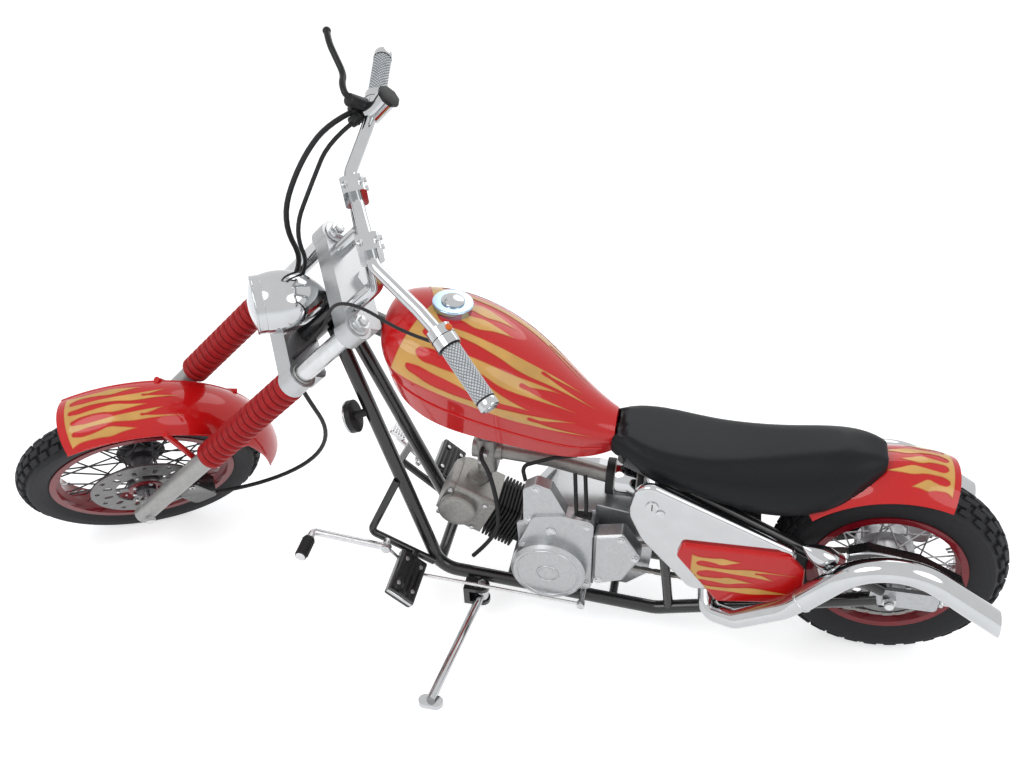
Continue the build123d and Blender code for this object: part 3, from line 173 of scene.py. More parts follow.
def finish(name, colour, rough, metal=0.0, mottle=0.1, grain=70.0, relief=0.0, coat=0.0,
           stretch=(1, 1, 1), shine=0.25):
    """A worn surface: mottled colour, uneven gloss and a fine relief, with an optional clear coat."""
    material = bpy.data.materials.new(name)
    material.use_nodes = True
    tree = material.node_tree
    shader = tree.nodes["Principled BSDF"]
    shader.inputs["Metallic"].default_value = metal
    shader.inputs["Specular IOR Level"].default_value = shine
    if coat:
        shader.inputs["Coat Weight"].default_value = coat
        shader.inputs["Coat Roughness"].default_value = 0.04
    place = tree.nodes.new("ShaderNodeTexCoord")
    turn = tree.nodes.new("ShaderNodeMapping")
    turn.inputs["Scale"].default_value = stretch
    speck = tree.nodes.new("ShaderNodeTexNoise")
    speck.inputs["Scale"].default_value = grain
    speck.inputs["Detail"].default_value = 6
    shade = tree.nodes.new("ShaderNodeValToRGB")
    shade.color_ramp.elements[0].position = 0.3
    shade.color_ramp.elements[1].position = 0.7
    shade.color_ramp.elements[0].color = [c * (1 - mottle) for c in colour] + [1]
    shade.color_ramp.elements[1].color = [min(1, c * (1 + mottle)) for c in colour] + [1]
    gloss = tree.nodes.new("ShaderNodeMapRange")
    gloss.inputs["To Min"].default_value = rough * 0.75
    gloss.inputs["To Max"].default_value = min(1, rough * 1.3)
    wire(tree, (place, "Object", turn, "Vector"), (turn, "Vector", speck, "Vector"),
         (speck, "Fac", shade, "Fac"), (shade, "Color", shader, "Base Color"),
         (speck, "Fac", gloss, "Value"), (gloss, "Result", shader, "Roughness"))
    if relief:
        bump = tree.nodes.new("ShaderNodeBump")
        bump.inputs["Strength"].default_value = relief
        bump.inputs["Distance"].default_value = 0.001
        wire(tree, (speck, "Fac", bump, "Height"), (bump, "Normal", shader, "Normal"))
    return material


def pick(ob):
    """Select one object alone and make it the active one."""
    bpy.ops.object.select_all(action="DESELECT")
    ob.select_set(True)
    bpy.context.view_layer.objects.active = ob


def set_down(ob, name, stance, body, material, angle=40):
    """Name a finished piece, put its place into its mesh, paint it and let its body carry it."""
    ob.data.transform(stance @ ob.matrix_world)
    ob.matrix_world = Matrix.Identity(4)
    ob.name = name
    ob.data.materials.clear()
    ob.data.materials.append(material)
    pick(ob)
    bpy.ops.object.shade_smooth_by_angle(angle=radians(angle))
    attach(ob, body)
    return ob


def close_seams(apart):
    """Merge an edited mesh's doubles, turn its faces outwards and leave edit mode."""
    bpy.ops.mesh.select_all(action="SELECT")
    bpy.ops.mesh.remove_doubles(threshold=apart)
    bpy.ops.mesh.normals_make_consistent(inside=False)
    bpy.ops.object.mode_set(mode="OBJECT")


def ring(profile, steps=96):
    """A turned piece about the Y axis, from corners (to the left, out) in millimetres."""
    ob = start(bpy.ops.mesh.primitive_circle_add, vertices=len(profile), radius=0.1, fill_type="NOTHING")
    for corner, (side, out) in zip(ob.data.vertices, profile):
        corner.co = (0, side / 1000, out / 1000)
    bpy.ops.object.mode_set(mode="EDIT")
    bpy.ops.mesh.select_all(action="SELECT")
    bpy.ops.mesh.spin(steps=steps, angle=2 * pi, center=(0, 0, 0), axis=(0, 1, 0))
    close_seams(0.00001)
    return ob


def merge(parts):
    """Join finished meshes into the first of them."""
    bpy.ops.object.select_all(action="DESELECT")
    for ob in parts:
        ob.select_set(True)
    bpy.context.view_layer.objects.active = parts[0]
    bpy.ops.object.transform_apply(location=True, rotation=True, scale=True)
    bpy.ops.object.join()
    return bpy.context.object


def tread_row(radius, crown, tilt, stagger, wide, long, high, skew, count):
    """One row of bevelled blocks round the crown, at a tilt across it."""
    block = start(bpy.ops.mesh.primitive_cube_add, size=1)
    block.data.transform(Matrix.Diagonal((long / 1000, wide / 1000, high / 1000, 1)))
    for corner in block.data.vertices:
        if corner.co.z > 0:
            corner.co.x *= 0.9
            corner.co.y *= 0.88
        corner.co.x += skew * corner.co.y
    bpy.ops.object.mode_set(mode="EDIT")
    bpy.ops.mesh.select_all(action="SELECT")
    bpy.ops.mesh.bevel(offset=0.0012, segments=1)
    bpy.ops.object.mode_set(mode="OBJECT")
    lift = Matrix.Translation((0, 0, (crown - high / 2) / 1000))
    block.data.transform(Matrix.Translation((0, 0, (radius - crown) / 1000))
                         @ Matrix.Rotation(radians(-tilt), 4, "X") @ lift)
    block.data.transform(Matrix.Rotation(2 * pi / count * stagger, 4, "Y"))
    pace = bpy.data.objects.new("pace", None)
    pace.rotation_euler = (0, 2 * pi / count, 0)
    scene.collection.objects.link(pace)
    bpy.context.view_layer.update()
    rows = block.modifiers.new("round", "ARRAY")
    rows.use_relative_offset = False
    rows.use_object_offset = True
    rows.offset_object = pace
    rows.count = count
    bpy.ops.object.modifier_apply(modifier="round")
    bpy.data.objects.remove(pace)
    return block


tyre_rubber = finish("tyre_rubber", (0.022, 0.022, 0.024), 0.62, mottle=0.25, grain=220, relief=0.12)
BLOCK_HIGH = 7


def tyre(radius, half, crown, flange, rim_half, rows, count):
    """A tyre: carcass with ribbed walls, and its tread."""
    low = crown - 6
    foot = rim_half - 3.2
    wide = (flange + radius) / 2
    profile = []
    for step in range(-10, 11):
        tilt = radians(step * 5.2)
        profile.append((low * sin(tilt), radius - crown + low * cos(tilt)))
    wall = [(half * 0.985, wide + 9), (half, wide + 7), (half, wide), (half * 0.97, wide - 8),
            (half * 0.97, wide - 10), (foot + 2, flange + 4), (foot, flange + 0.3), (foot, flange - 8.8)]
    profile += wall + [(-side, out) for side, out in reversed(wall)]
    parts = [ring(profile, 120)]
    for tilt, stagger, block_w, block_l, skew in rows:
        for side in (1, -1):
            shift = stagger + (0.5 if side < 0 else 0)
            parts.append(tread_row(radius, crown, side * tilt, shift, block_w, block_l, BLOCK_HIGH,
                                   side * skew, count))
    return merge(parts)


front_rows = ((11, 0, 12, 27, 0.5), (37, 0.4, 13, 24, 0.35))
front_tyre = tyre(248.5, 33.5, 35, 187, 27, front_rows, 46)
front_tyre.data.transform(Matrix.Translation(FRONT_AXLE))
set_down(front_tyre, "front_tyre_tread", TURNED, "front_wheel", tyre_rubber, 30)
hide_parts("front_tyre")

rear_rows = ((9, 0, 13, 34, 0.55), (27, 0.45, 15, 30, 0.4), (46, 0.2, 11, 26, 0.2))
rear_tyre = tyre(228, 45, 48, 152, 36, rear_rows, 34)
rear_tyre.data.transform(Matrix.Translation(REAR_AXLE))
set_down(rear_tyre, "rear_tyre_tread", PARKED, "rear_wheel", tyre_rubber, 30)
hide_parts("rear_tyre")

# Wheels: pressed steel rims in dark red paint, wire spokes laced to cast hubs, a drilled disc
# bolted to the left of the front hub and a chain sprocket bolted to the left of the rear one.


def dress(material, *names, edge=0.0):
    """Give solids their finish, with round faces shown smooth and edges crisp or rounded."""
    for ob in (nodes[name] for name in names):
        ob.data.materials.clear()
        ob.data.materials.append(material)
        weld = ob.modifiers.new("weld", "WELD")
        weld.merge_threshold = 0.00001
        if edge:
            flat = ob.modifiers.new("flat", "DECIMATE")
            flat.decimate_type = "DISSOLVE"
            flat.angle_limit = radians(1.5)
            soft = ob.modifiers.new("soft", "BEVEL")
            soft.width = edge / 1000
            soft.segments = 4
            soft.limit_method = "ANGLE"
            soft.angle_limit = radians(34)
            soft.harden_normals = False
            even = ob.modifiers.new("even", "WEIGHTED_NORMAL")
            even.keep_sharp = False
        else:
            crisp = ob.modifiers.new("crisp", "EDGE_SPLIT")
            crisp.split_angle = radians(32)
        for face in ob.data.polygons:
            face.use_smooth = True


def at(place, axis):
    """The matrix that stands a piece drawn along Z at a place, along an axis."""
    return Matrix.Translation(place) @ Vector(axis).normalized().to_track_quat("Z", "Y").to_matrix().to_4x4()


def rod(place, axis, radius, long, sides=32, edge=0.0):
    """A round or many-sided bar that starts at a place, with its ends' edges broken."""
    ob = start(bpy.ops.mesh.primitive_cylinder_add, vertices=sides, radius=radius / 1000, depth=long / 1000)
    if edge:
        broken = ob.modifiers.new("edge", "BEVEL")
        broken.width = edge / 1000
        broken.segments = 2
        broken.limit_method = "ANGLE"
        broken.angle_limit = radians(50)
        bpy.ops.object.modifier_apply(modifier="edge")
    ob.data.transform(at(place, axis) @ Matrix.Translation((0, 0, long / 2000)))
    return ob


def socket_screw(place, axis, radius, high):
    """A round screw head with a sunk recess in its end."""
    ob = start(bpy.ops.mesh.primitive_cylinder_add, vertices=24, radius=radius / 1000, depth=high / 1000)
    bpy.ops.object.mode_set(mode="EDIT")
    bpy.ops.mesh.select_mode(type="FACE")
    bpy.ops.mesh.select_all(action="DESELECT")
    bpy.ops.object.mode_set(mode="OBJECT")
    for face in ob.data.polygons:
        face.select = face.normal.z > 0.9
    bpy.ops.object.mode_set(mode="EDIT")
    bpy.ops.mesh.inset(thickness=radius * 0.14 / 1000, depth=radius * 0.1 / 1000)
    bpy.ops.mesh.inset(thickness=radius * 0.3 / 1000)
    bpy.ops.mesh.extrude_region_move(TRANSFORM_OT_translate={"value": (0, 0, -0.6 * high / 1000)})
    bpy.ops.object.mode_set(mode="OBJECT")
    ob.data.transform(at(place, axis) @ Matrix.Translation((0, 0, high / 2000)))
    return ob


def band(place, axis, radius, thick, steps=56):
    """A round ring, lying across an axis."""
    ob = start(bpy.ops.mesh.primitive_torus_add, major_radius=radius / 1000, minor_radius=thick / 1000,
               major_segments=steps, minor_segments=10)
    ob.data.transform(at(place, axis))
    return ob


def turned(profile, steps, place, axis):
    """A turned piece that starts at a place, along an axis, from corners (along, out)."""
    ob = ring(profile, steps)
    ob.data.transform(at(place, axis) @ Matrix.Rotation(pi / 2, 4, "X"))
    return ob


def on_axle(axle, angle, out, side):
    """A point of a wheel: angle forward of up, out from the axle and to the left, in millimetres."""
    turn = radians(angle)
    return axle + Vector((out * sin(turn), side, out * cos(turn))) / 1000


LEFT = Vector((0, 1, 0))
RIGHT = Vector((0, -1, 0))
BACK = Vector((-1, 0, 0))
UP = Vector((0, 0, 1))
rim_red = finish("rim_red", (0.24, 0.006, 0.014), 0.3, mottle=0.12, grain=40, coat=0.6, shine=0.1)
wheel_alloy = finish("wheel_alloy", (0.5, 0.5, 0.51), 0.36, metal=0.9, mottle=0.14, grain=120, relief=0.06)
disc_steel = finish("disc_steel", (0.2, 0.2, 0.2), 0.38, metal=0.9, mottle=0.2, grain=160, relief=0.1)
axle_steel = finish("axle_steel", (0.62, 0.62, 0.63), 0.25, metal=1.0, grain=140)
screw_zinc = finish("screw_zinc", (0.55, 0.56, 0.57), 0.3, metal=1.0, mottle=0.12, grain=180)
dress(rim_red, "front_rim", "rear_rim")
hub_dark = finish("hub_dark", (0.07, 0.07, 0.075), 0.4, metal=0.4, mottle=0.15, grain=120, relief=0.05)
dress(hub_dark, "front_hub")
dress(wheel_alloy, "rear_hub")
dress(disc_steel, "front_disc", "rear_sprocket")
dress(axle_steel, "front_axle", "rear_axle")

disc_carrier = ring([(50.2, 21), (51.6, 21), (52.4, 23), (52.4, 33), (51.6, 35), (50.2, 35)], 48)
disc_carrier.data.transform(Matrix.Translation(FRONT_AXLE))
set_down(disc_carrier, "disc_carrier_ring", TURNED, "front_wheel", rim_red)
screws = [rod(on_axle(FRONT_AXLE, 36 + 72 * k, 28, 52.2), LEFT, 4.6, 4.5, 6, 0.6) for k in range(5)]
screws += [rod(on_axle(FRONT_AXLE, 72 * k, 56, 50), LEFT, 3.6, 2.6, 16, 0.6) for k in range(5)]
set_down(merge(screws), "disc_screws", TURNED, "front_wheel", screw_zinc)
screws = [rod(on_axle(REAR_AXLE, 30 + 60 * k, 40, 60), LEFT, 5.4, 5, 6, 0.7) for k in range(6)]
set_down(merge(screws), "sprocket_screws", PARKED, "rear_wheel", screw_zinc)
nipples = []
for axle, rim_seat, count in ((FRONT_AXLE, 163, 18), (REAR_AXLE, 128, 18)):
    heads = []
    for k in range(count):
        for side in (1, -1):
            angle = 360 / count * (k + 0.25 * (1 - side))
            inward = on_axle(axle, angle, 0, 0) - on_axle(axle, angle, 1000, 0)
            heads.append(rod(on_axle(axle, angle, rim_seat + 2, side * 6), inward, 2.4, 12, 8))
    nipples.append(merge(heads))
set_down(nipples[0], "front_spoke_nipples", TURNED, "front_wheel", screw_zinc)
set_down(nipples[1], "rear_spoke_nipples", PARKED, "rear_wheel", screw_zinc)

# Fork: grey painted sliders on hard-plated tubes, red ribbed rubber gaiters with pale bands at their tops and
# painted shade in their grooves, and two thick satin alloy clamps held by hexagon bolts.
slider_grey = finish("slider_grey", (0.4, 0.4, 0.39), 0.4, metal=0.5, mottle=0.08, grain=90, relief=0.05)
tube_plate = finish("tube_plate", (0.62, 0.63, 0.64), 0.22, metal=1.0, mottle=0.06, grain=60)
gaiter_red = finish("gaiter_red", (0.4, 0.014, 0.016), 0.46, mottle=0.15, grain=120, relief=0.08, shine=0.2)
satin_alloy = finish("satin_alloy", (0.5, 0.51, 0.52), 0.36, metal=0.85, mottle=0.06, grain=140, relief=0.05,
                     stretch=(1, 1, 6))
pale_band = finish("pale_band", (0.62, 0.42, 0.34), 0.5)
dress(slider_grey, "fork_sliders")
dress(tube_plate, "fork_tubes")
dress(gaiter_red, "fork_boots")
dress(satin_alloy, "upper_clamp", "lower_clamp")


def mount_on_fork(parts, name, material):
    """Join pieces drawn on the straight fork into one that the steering carries."""
    return set_down(merge(parts), name, TURNED, "steering", material)


LEG_AHEAD = 35
LEG_ASIDE = 100
RIB_PITCH = 18.375
bands = []
grooves = []
bolts = []
collars = []
for side in (LEG_ASIDE, -LEG_ASIDE):
    bands.append(band(on_fork(LEG_AHEAD, side, 531), FORK_UP, 26.6, 1.2))
    for k in range(1, 16):
        grooves.append(band(on_fork(LEG_AHEAD, side, 247 + RIB_PITCH * k), FORK_UP, 24.6, 1.5, 40))
    collars.append(band(on_fork(LEG_AHEAD, side, 248), FORK_UP, 22.2, 2.4))
    collars.append(band(on_fork(LEG_AHEAD, side, 582), FORK_UP, 19.4, 1.8))
    bolts.append(rod(on_fork(LEG_AHEAD, side, 766.2), FORK_UP, 9.5, 5, 6, 0.9))
    bolts.append(rod(on_fork(LEG_AHEAD, side, 752.2), FORK_UP, 20.5, 2.6, 40, 0.8))
    for rise in (552, 570):
        bolts.append(rod(on_fork(-2, side * 0.8, rise), -FORK_FRONT, 5.5, 24, 6, 0.7))
mount_on_fork(bands, "gaiter_bands", pale_band)
# Painted shade: darker red rings laid in the gaiters' grooves stand for the shade in the creases between the
# ribs.
gaiter_painted_shade = finish("gaiter_painted_shade", (0.13, 0.005, 0.007), 0.6, mottle=0.15, grain=120, shine=0.1)
mount_on_fork(grooves, "gaiter_groove_shade", gaiter_painted_shade)
mount_on_fork(collars, "fork_collars", slider_grey)
mount_on_fork(bolts, "clamp_bolts", screw_zinc)

# Front mudguard: a deep pressed steel arch in candy red with gold flames under the lacquer,
# bolted by struts to the sliders.


def as_mesh(data):
    """A curve made into a mesh."""
    ob = bpy.data.objects.new(data.name, data)
    scene.collection.objects.link(ob)
    pick(ob)
    bpy.ops.object.convert(target="MESH")
    return bpy.context.object


def tube_line(name, points, radius, around, steps):
    """A round curve past a few points, with closed ends."""
    data = bpy.data.curves.new(name, "CURVE")
    data.dimensions = "3D"
    data.bevel_depth = radius / 1000
    data.bevel_resolution = around
    data.use_fill_caps = True
    line = data.splines.new("NURBS")
    line.points.add(len(points) - 1)
    for knot, point in zip(line.points, points):
        knot.co = (*point, 1)
    line.order_u = 3
    line.use_endpoint_u = True
    line.resolution_u = steps
    return data


def run_tube(points, radius):
    """A tube past a few points, as a mesh."""
    return as_mesh(tube_line("run", points, radius, 3, 6))


def flame_outline(root, edge, licks, gap, fat):
    """A flame's closed outline: a root line, then each lick, slim at its root, full at its middle and
    drawn out to a tip, with round gaps between. A lick's fourth value sets a side tip so far across."""
    points = [(root, licks[0][0] + edge, True)]
    for index, (begin, tip_u, tip_v, fork) in enumerate(licks):
        upper = []
        lower = []
        for part, share in ((0.14, 0.55), (0.3, 0.42), (0.48, 0.6), (0.64, 0.9), (0.82, 0.45)):
            sway = 0.7 * fat * sin(2 * pi * part + index)
            u = root + (tip_u - root) * part
            middle = begin + (tip_v - begin) * part * part + sway * part * (1 - part)
            upper.append((u, middle + fat * share, False))
            lower.insert(0, (u, middle - fat * share, False))
        branch = [(root + (tip_u - root) * part, tip_v + fork * share, part > 0.8)
                  for part, share in ((0.9, 1.0), (0.78, 0.5), (0.71, 0.34), (0.78, 0.14))]
        if fork > 0:
            upper[4:] = branch
        elif fork < 0:
            lower[:1] = reversed(branch)
        points += upper + [(tip_u, tip_v, True)] + lower
        if index + 1 < len(licks):
            deep = gap * (0.8 + 0.3 * (index % 2))
            points.append((root + deep, (begin + licks[index + 1][0]) / 2, False))
    points.append((root, licks[-1][0] - edge, True))
    return points


def flame_sheet(outline, grow, step, lay):
    """Fill an outline, cut it into small cells and lay it on a surface with a function of (u, v)."""
    data = bpy.data.curves.new("flame", "CURVE")
    data.dimensions = "2D"
    data.fill_mode = "BOTH"
    data.offset = grow / 1000
    run = data.splines.new("BEZIER")
    run.bezier_points.add(len(outline) - 1)
    for knot, (u, v, sharp) in zip(run.bezier_points, outline):
        knot.co = (u / 1000, v / 1000, 0)
        knot.handle_left_type = knot.handle_right_type = "VECTOR" if sharp else "AUTO"
    run.use_cyclic_u = True
    run.resolution_u = 6
    ob = as_mesh(data)
    bpy.ops.object.mode_set(mode="EDIT")
    for direction, column in (((1, 0, 0), 0), ((0, 1, 0), 1)):
        spots = [p[column] for p in outline]
        cut = min(spots) + step
        while cut < max(spots):
            bpy.ops.mesh.select_all(action="SELECT")
            bpy.ops.mesh.bisect(plane_co=Vector(direction) * cut / 1000, plane_no=direction)
            cut += step
    bpy.ops.object.mode_set(mode="OBJECT")
    for corner in ob.data.vertices:
        corner.co = lay(corner.co.x * 1000, corner.co.y * 1000)
    return ob


def skin(node, stance, lift):
    """A function that drops a ray onto a solid and gives the point a little outside it."""
    mesh = nodes[node].data
    tree = BVHTree.FromPolygons([v.co for v in mesh.vertices], [p.vertices for p in mesh.polygons])
    back = stance.inverted()

    def drop(above, way):
        way = (stance.to_3x3() @ way).normalized()
        spot = tree.ray_cast(stance @ above, way)[0]
        if spot is None:
            spot = tree.find_nearest(stance @ above)[0]
        return back @ (spot - way * lift / 1000)

    return drop


def painted_flames(name, node, stance, body, outline, step, aim):
    """Gold flames with a fine orange edge, laid on a painted solid along rays from a function of (u, v)."""
    for layer, grow, lift, paint in (("edge", 1.3, 0.5, flame_orange), ("gold", 0.0, 0.8, flame_gold)):
        drop = skin(node, stance, lift)
        sheet = flame_sheet(outline, grow, step, lambda u, v: drop(*aim(u, v)))
        set_down(sheet, name + "_" + layer, stance, body, paint, 60)


candy_red = finish("candy_red", (0.64, 0.007, 0.008), 0.3, mottle=0.06, grain=300, coat=0.7, shine=0.1)
flame_gold = finish("flame_gold", (0.74, 0.4, 0.1), 0.32, mottle=0.14, grain=14, coat=0.7, shine=0.1)
flame_orange = finish("flame_orange", (0.66, 0.16, 0.03), 0.34, mottle=0.12, grain=30, coat=0.7, shine=0.1)
dress(candy_red, "front_fender")
FRONT_GUARD_R = 288
FROM_ABOVE = 0.4


def over_front(u, v):
    """Down onto the front mudguard: u back along it from its tip, v to the left."""
    angle = radians(14) - u / FRONT_GUARD_R
    out = Vector((sin(angle), 0, cos(angle)))
    return FRONT_AXLE + out * FROM_ABOVE + Vector((0, v / 1000, 0)), -out


front_licks = ((44, 132, 45, 0), (23, 204, 28, -16), (1, 156, 2, 0), (-20, 214, -14, -16),
               (-42, 150, -41, 0))
painted_flames("front_fender_flames", "front_fender", TURNED, "steering",
               flame_outline(8, 9, front_licks, 8, 8.2), 4, over_front)
lips = []
for side in (61, -61):
    lips.append(run_tube([on_axle(FRONT_AXLE, 16 - 2.75 * k, 263, side) for k in range(41)], 1.8))
mount_on_fork(lips, "front_fender_lips", candy_red)

# Headlamp: a plated bullet shell with a rolled rim, a clear glass in front and a black plug
# behind, held between the fork clamps.
chrome = finish("chrome", (0.52, 0.53, 0.54), 0.08, metal=1.0, mottle=0.03, grain=30)
lens_glass = finish("lens_glass", (0.8, 0.84, 0.86), 0.08, mottle=0.06, grain=60, coat=1.0)
black_rubber = finish("black_rubber", (0.018, 0.018, 0.019), 0.5, mottle=0.2, grain=160, relief=0.06)
dress(chrome, "headlamp_shell")
dress(lens_glass, "headlamp_lens")
LAMP_FRONT = on_fork(144, 0, 622.4)
LAMP_AIM = Vector((cos(radians(8)), 0, sin(radians(8))))
rims = [band(LAMP_FRONT - LAMP_AIM * 0.001, LAMP_AIM, 51.2, 2.6),
        band(LAMP_FRONT - LAMP_AIM * 0.016, LAMP_AIM, 52.9, 0.7)]
mount_on_fork(rims, "headlamp_rims", chrome)
plug = rod(LAMP_FRONT - LAMP_AIM * 0.124, -LAMP_AIM, 8, 14, 24, 2)
mount_on_fork([plug], "headlamp_plug", black_rubber)

# Handlebar: a bent plated tube in two curved plated risers, each closed by a cap with socket
# screws, with diamond-cut pale grips, a switch housing, and a brake lever with its reservoir.
DIAMONDS_ROUND = 16
DIAMOND_LONG = 7.2
GROOVE_R = 15.2
CUT_SLOPE = 4.4
GRIP_REACH = 0.15


def grip_ends(side):
    """The inner and the outer end of a grip's middle line."""
    return on_fork(46, side * 252, 946), on_fork(4, side * 376, 960)


def cut_grip(side):
    """A pale grip cut in diamonds, on the bar's end."""
    inner, outer = grip_ends(side)
    ob = start(bpy.ops.mesh.primitive_grid_add, x_subdivisions=96, y_subdivisions=84, size=1)
    for corner in ob.data.vertices:
        turn = (corner.co.x + 0.5) * 2 * pi
        reach = 14 + (corner.co.y + 0.5) * 101
        one = abs((DIAMONDS_ROUND * turn / (2 * pi) + reach / DIAMOND_LONG) % 1 - 0.5)
        two = abs((DIAMONDS_ROUND * turn / (2 * pi) - reach / DIAMOND_LONG) % 1 - 0.5)
        out = GROOVE_R + CUT_SLOPE * min(one, two, 0.36)
        corner.co = (out * cos(turn) / 1000, out * sin(turn) / 1000, reach / 1000)
    bpy.ops.object.mode_set(mode="EDIT")
    close_seams(0.00002)
    ob.data.transform(at(inner, outer - inner))
    return ob


dress(chrome, "handlebar", "risers", "bar_housings")
lever_route = ((60, -232, 942), (112, -232, 942), (118, -262, 945), (108, -286, 947), (122, -318, 952),
               (132, -346, 955), (130, -372, 956))
lever_black = finish("lever_black", (0.014, 0.014, 0.015), 0.35, mottle=0.15, grain=120)
ball = start(bpy.ops.mesh.primitive_uv_sphere_add, segments=24, ring_count=16, radius=0.0075,
             location=on_fork(*lever_route[-1]))
perch_foot = on_fork(64, -238, 940)
perch = rod(perch_foot, on_fork(*lever_route[1]) - perch_foot, 12, 46, 28, 3)
blade = run_tube([on_fork(*spot) for spot in lever_route], 6)
lever = mount_on_fork([ball, perch, blade], "curved_brake_lever", lever_black)
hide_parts("brake_lever")
grip_white = finish("grip_white", (0.66, 0.68, 0.7), 0.38, metal=0.25, mottle=0.08, grain=90)
grips = merge([cut_grip(1), cut_grip(-1)])
set_down(grips, "diamond_grips", TURNED, "steering", grip_white, 20)
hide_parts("grips")
# Painted shade: a dark grey second material on the faces down in the grips' diamond grooves stands for the
# shade in the cuts.
grip_groove_painted_shade = finish("grip_groove_painted_shade", (0.24, 0.25, 0.26), 0.5, grain=90)
grips.data.materials.append(grip_groove_painted_shade)
GROOVE_TOP = 0.01588
for side in (1, -1):
    inner, outer = (TURNED @ end for end in grip_ends(side))
    along = (outer - inner).normalized()
    for face in grips.data.polygons:
        away = face.center - inner
        if away.length < GRIP_REACH and (away - along * away.dot(along)).length < GROOVE_TOP:
            face.material_index = 1
caps = []
dark_rings = []
for side in (1, -1):
    inner, outer = grip_ends(side)
    along = (outer - inner).normalized()
    caps.append(rod(inner + along * 0.1155, along, 16.6, 14.4, 40, 2))
    dark_rings.append(rod(inner + along * 0.0121, along, 18.2, 2.2, 40, 0.6))
    dark_rings.append(rod(inner + along * 0.113, along, 16.8, 2.4, 40, 0.6))
mount_on_fork(caps, "grip_end_caps", chrome)
mount_on_fork(dark_rings, "grip_rings", black_rubber)
screws = []
for side in (60, -60):
    block = on_fork(112, side, 902)
    for shift in (-14, 14):
        screws.append(socket_screw(block + Vector((shift / 1000, 0, 0.0228)), UP, 5.2, 4.5))
    for shift in (-9, 9):
        screws.append(socket_screw(block + Vector((-0.0198, shift / 1000, 0.012)), BACK, 4.4, 4))
mount_on_fork(screws, "bar_cap_screws", screw_zinc)
signal_orange = finish("signal_orange", (0.78, 0.16, 0.02), 0.35, mottle=0.08)
button = rod(on_fork(52, 238, 962.5), FORK_UP, 6, 6, 20, 1.2)
mount_on_fork([button], "switch_button", signal_orange)
split_lines = []
for side in (1, -1):
    inner, outer = grip_ends(side)
    split_lines.append(band(on_fork(48, side * 246, 945), outer - inner, 21, 0.7))
mount_on_fork(split_lines, "housing_split_lines", black_rubber)
reservoir_lid = rod(on_fork(58, -222, 984), FORK_UP, 22, 8, 8, 1.5)
mount_on_fork([reservoir_lid], "reservoir_lid", black_rubber)

# Cables and brake: black sheathed cables with ribbed boots at the bar, a brake hose to the
# caliper, and a cast caliper in black paint on two bolts.
frame_black = finish("frame_black", (0.012, 0.012, 0.013), 0.28, mottle=0.2, grain=200, relief=0.03, coat=0.7)
cable_routes = (
    (5, ((50, -252, 936), (112, -226, 896), (172, -140, 856), (160, -84, 760), (46, -74, 672),
         (46, -74, 581))),
    (4, ((54, -238, 934), (112, -196, 880), (150, -104, 846), (142, -62, 766), (50, -54, 686),
         (50, -54, 581))),
    (3, ((50, 246, 930), (64, 200, 880), (96, 120, 830), (100, 78, 770), (48, 68, 680), (48, 68, 581))),
    (4.5, ((-6, 45, 540), (-6, 45, 505), (-60, 62, 460), (-190, 80, 360), (-232, 80, 220), (-170, 66, 60),
           (-80, 66, 20))))
cables = [run_tube([on_fork(*spot) for spot in route], thick) for thick, route in cable_routes]
cables = mount_on_fork(cables, "sheathed_cables", black_rubber)
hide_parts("cables")
dress(frame_black, "brake_caliper")
boots = []
for end, nearer in (((54, -250, 933), (80, -239, 917)), ((58, -235, 930), (80, -219, 910))):
    head, way = on_fork(*end), on_fork(*nearer) - on_fork(*end)
    boots.append(rod(head, way, 10, 38, 24, 3))
    boots += [band(head + way.normalized() * (0.01 + 0.008 * k), way, 10, 1.4) for k in range(3)]
mount_on_fork(boots, "cable_boots", black_rubber)
pins = [socket_screw(on_axle(FRONT_AXLE, *spot, 76), LEFT, 6, 5) for spot in ((-58, 92), (-86, 96))]
mount_on_fork(pins, "caliper_pins", screw_zinc)

# Frame: welded round steel tube in gloss black, with a head tube, one backbone, two cradle tubes
# and stays to cast rear axle plates; a round horn hangs on the left down tube.
dress(frame_black, "backbone", "cradle_left", "cradle_right", "cross_tubes", "upper_stays", "battery_box")
horn_black = finish("horn_black", (0.02, 0.02, 0.02), 0.4, mottle=0.15)
dress(horn_black, "horn")


def mount_on_frame(parts, name, material):
    """Join pieces drawn on the upright motorcycle into one that the frame carries."""
    return set_down(merge(parts), name, PARKED, "frame", material)


HORN_PLACE = on_bike(258, 60, 498)
HORN_AIM = Vector((0.95, 0.1, -0.31)).normalized()
horn_rim = [band(HORN_PLACE + HORN_AIM * 0.012, HORN_AIM, 30.5, 2.2)]
horn_rim += [band(HORN_PLACE + HORN_AIM * 0.0142, HORN_AIM, out, 0.8) for out in (9, 14, 19, 24)]
mount_on_frame(horn_rim, "horn_rings", chrome)

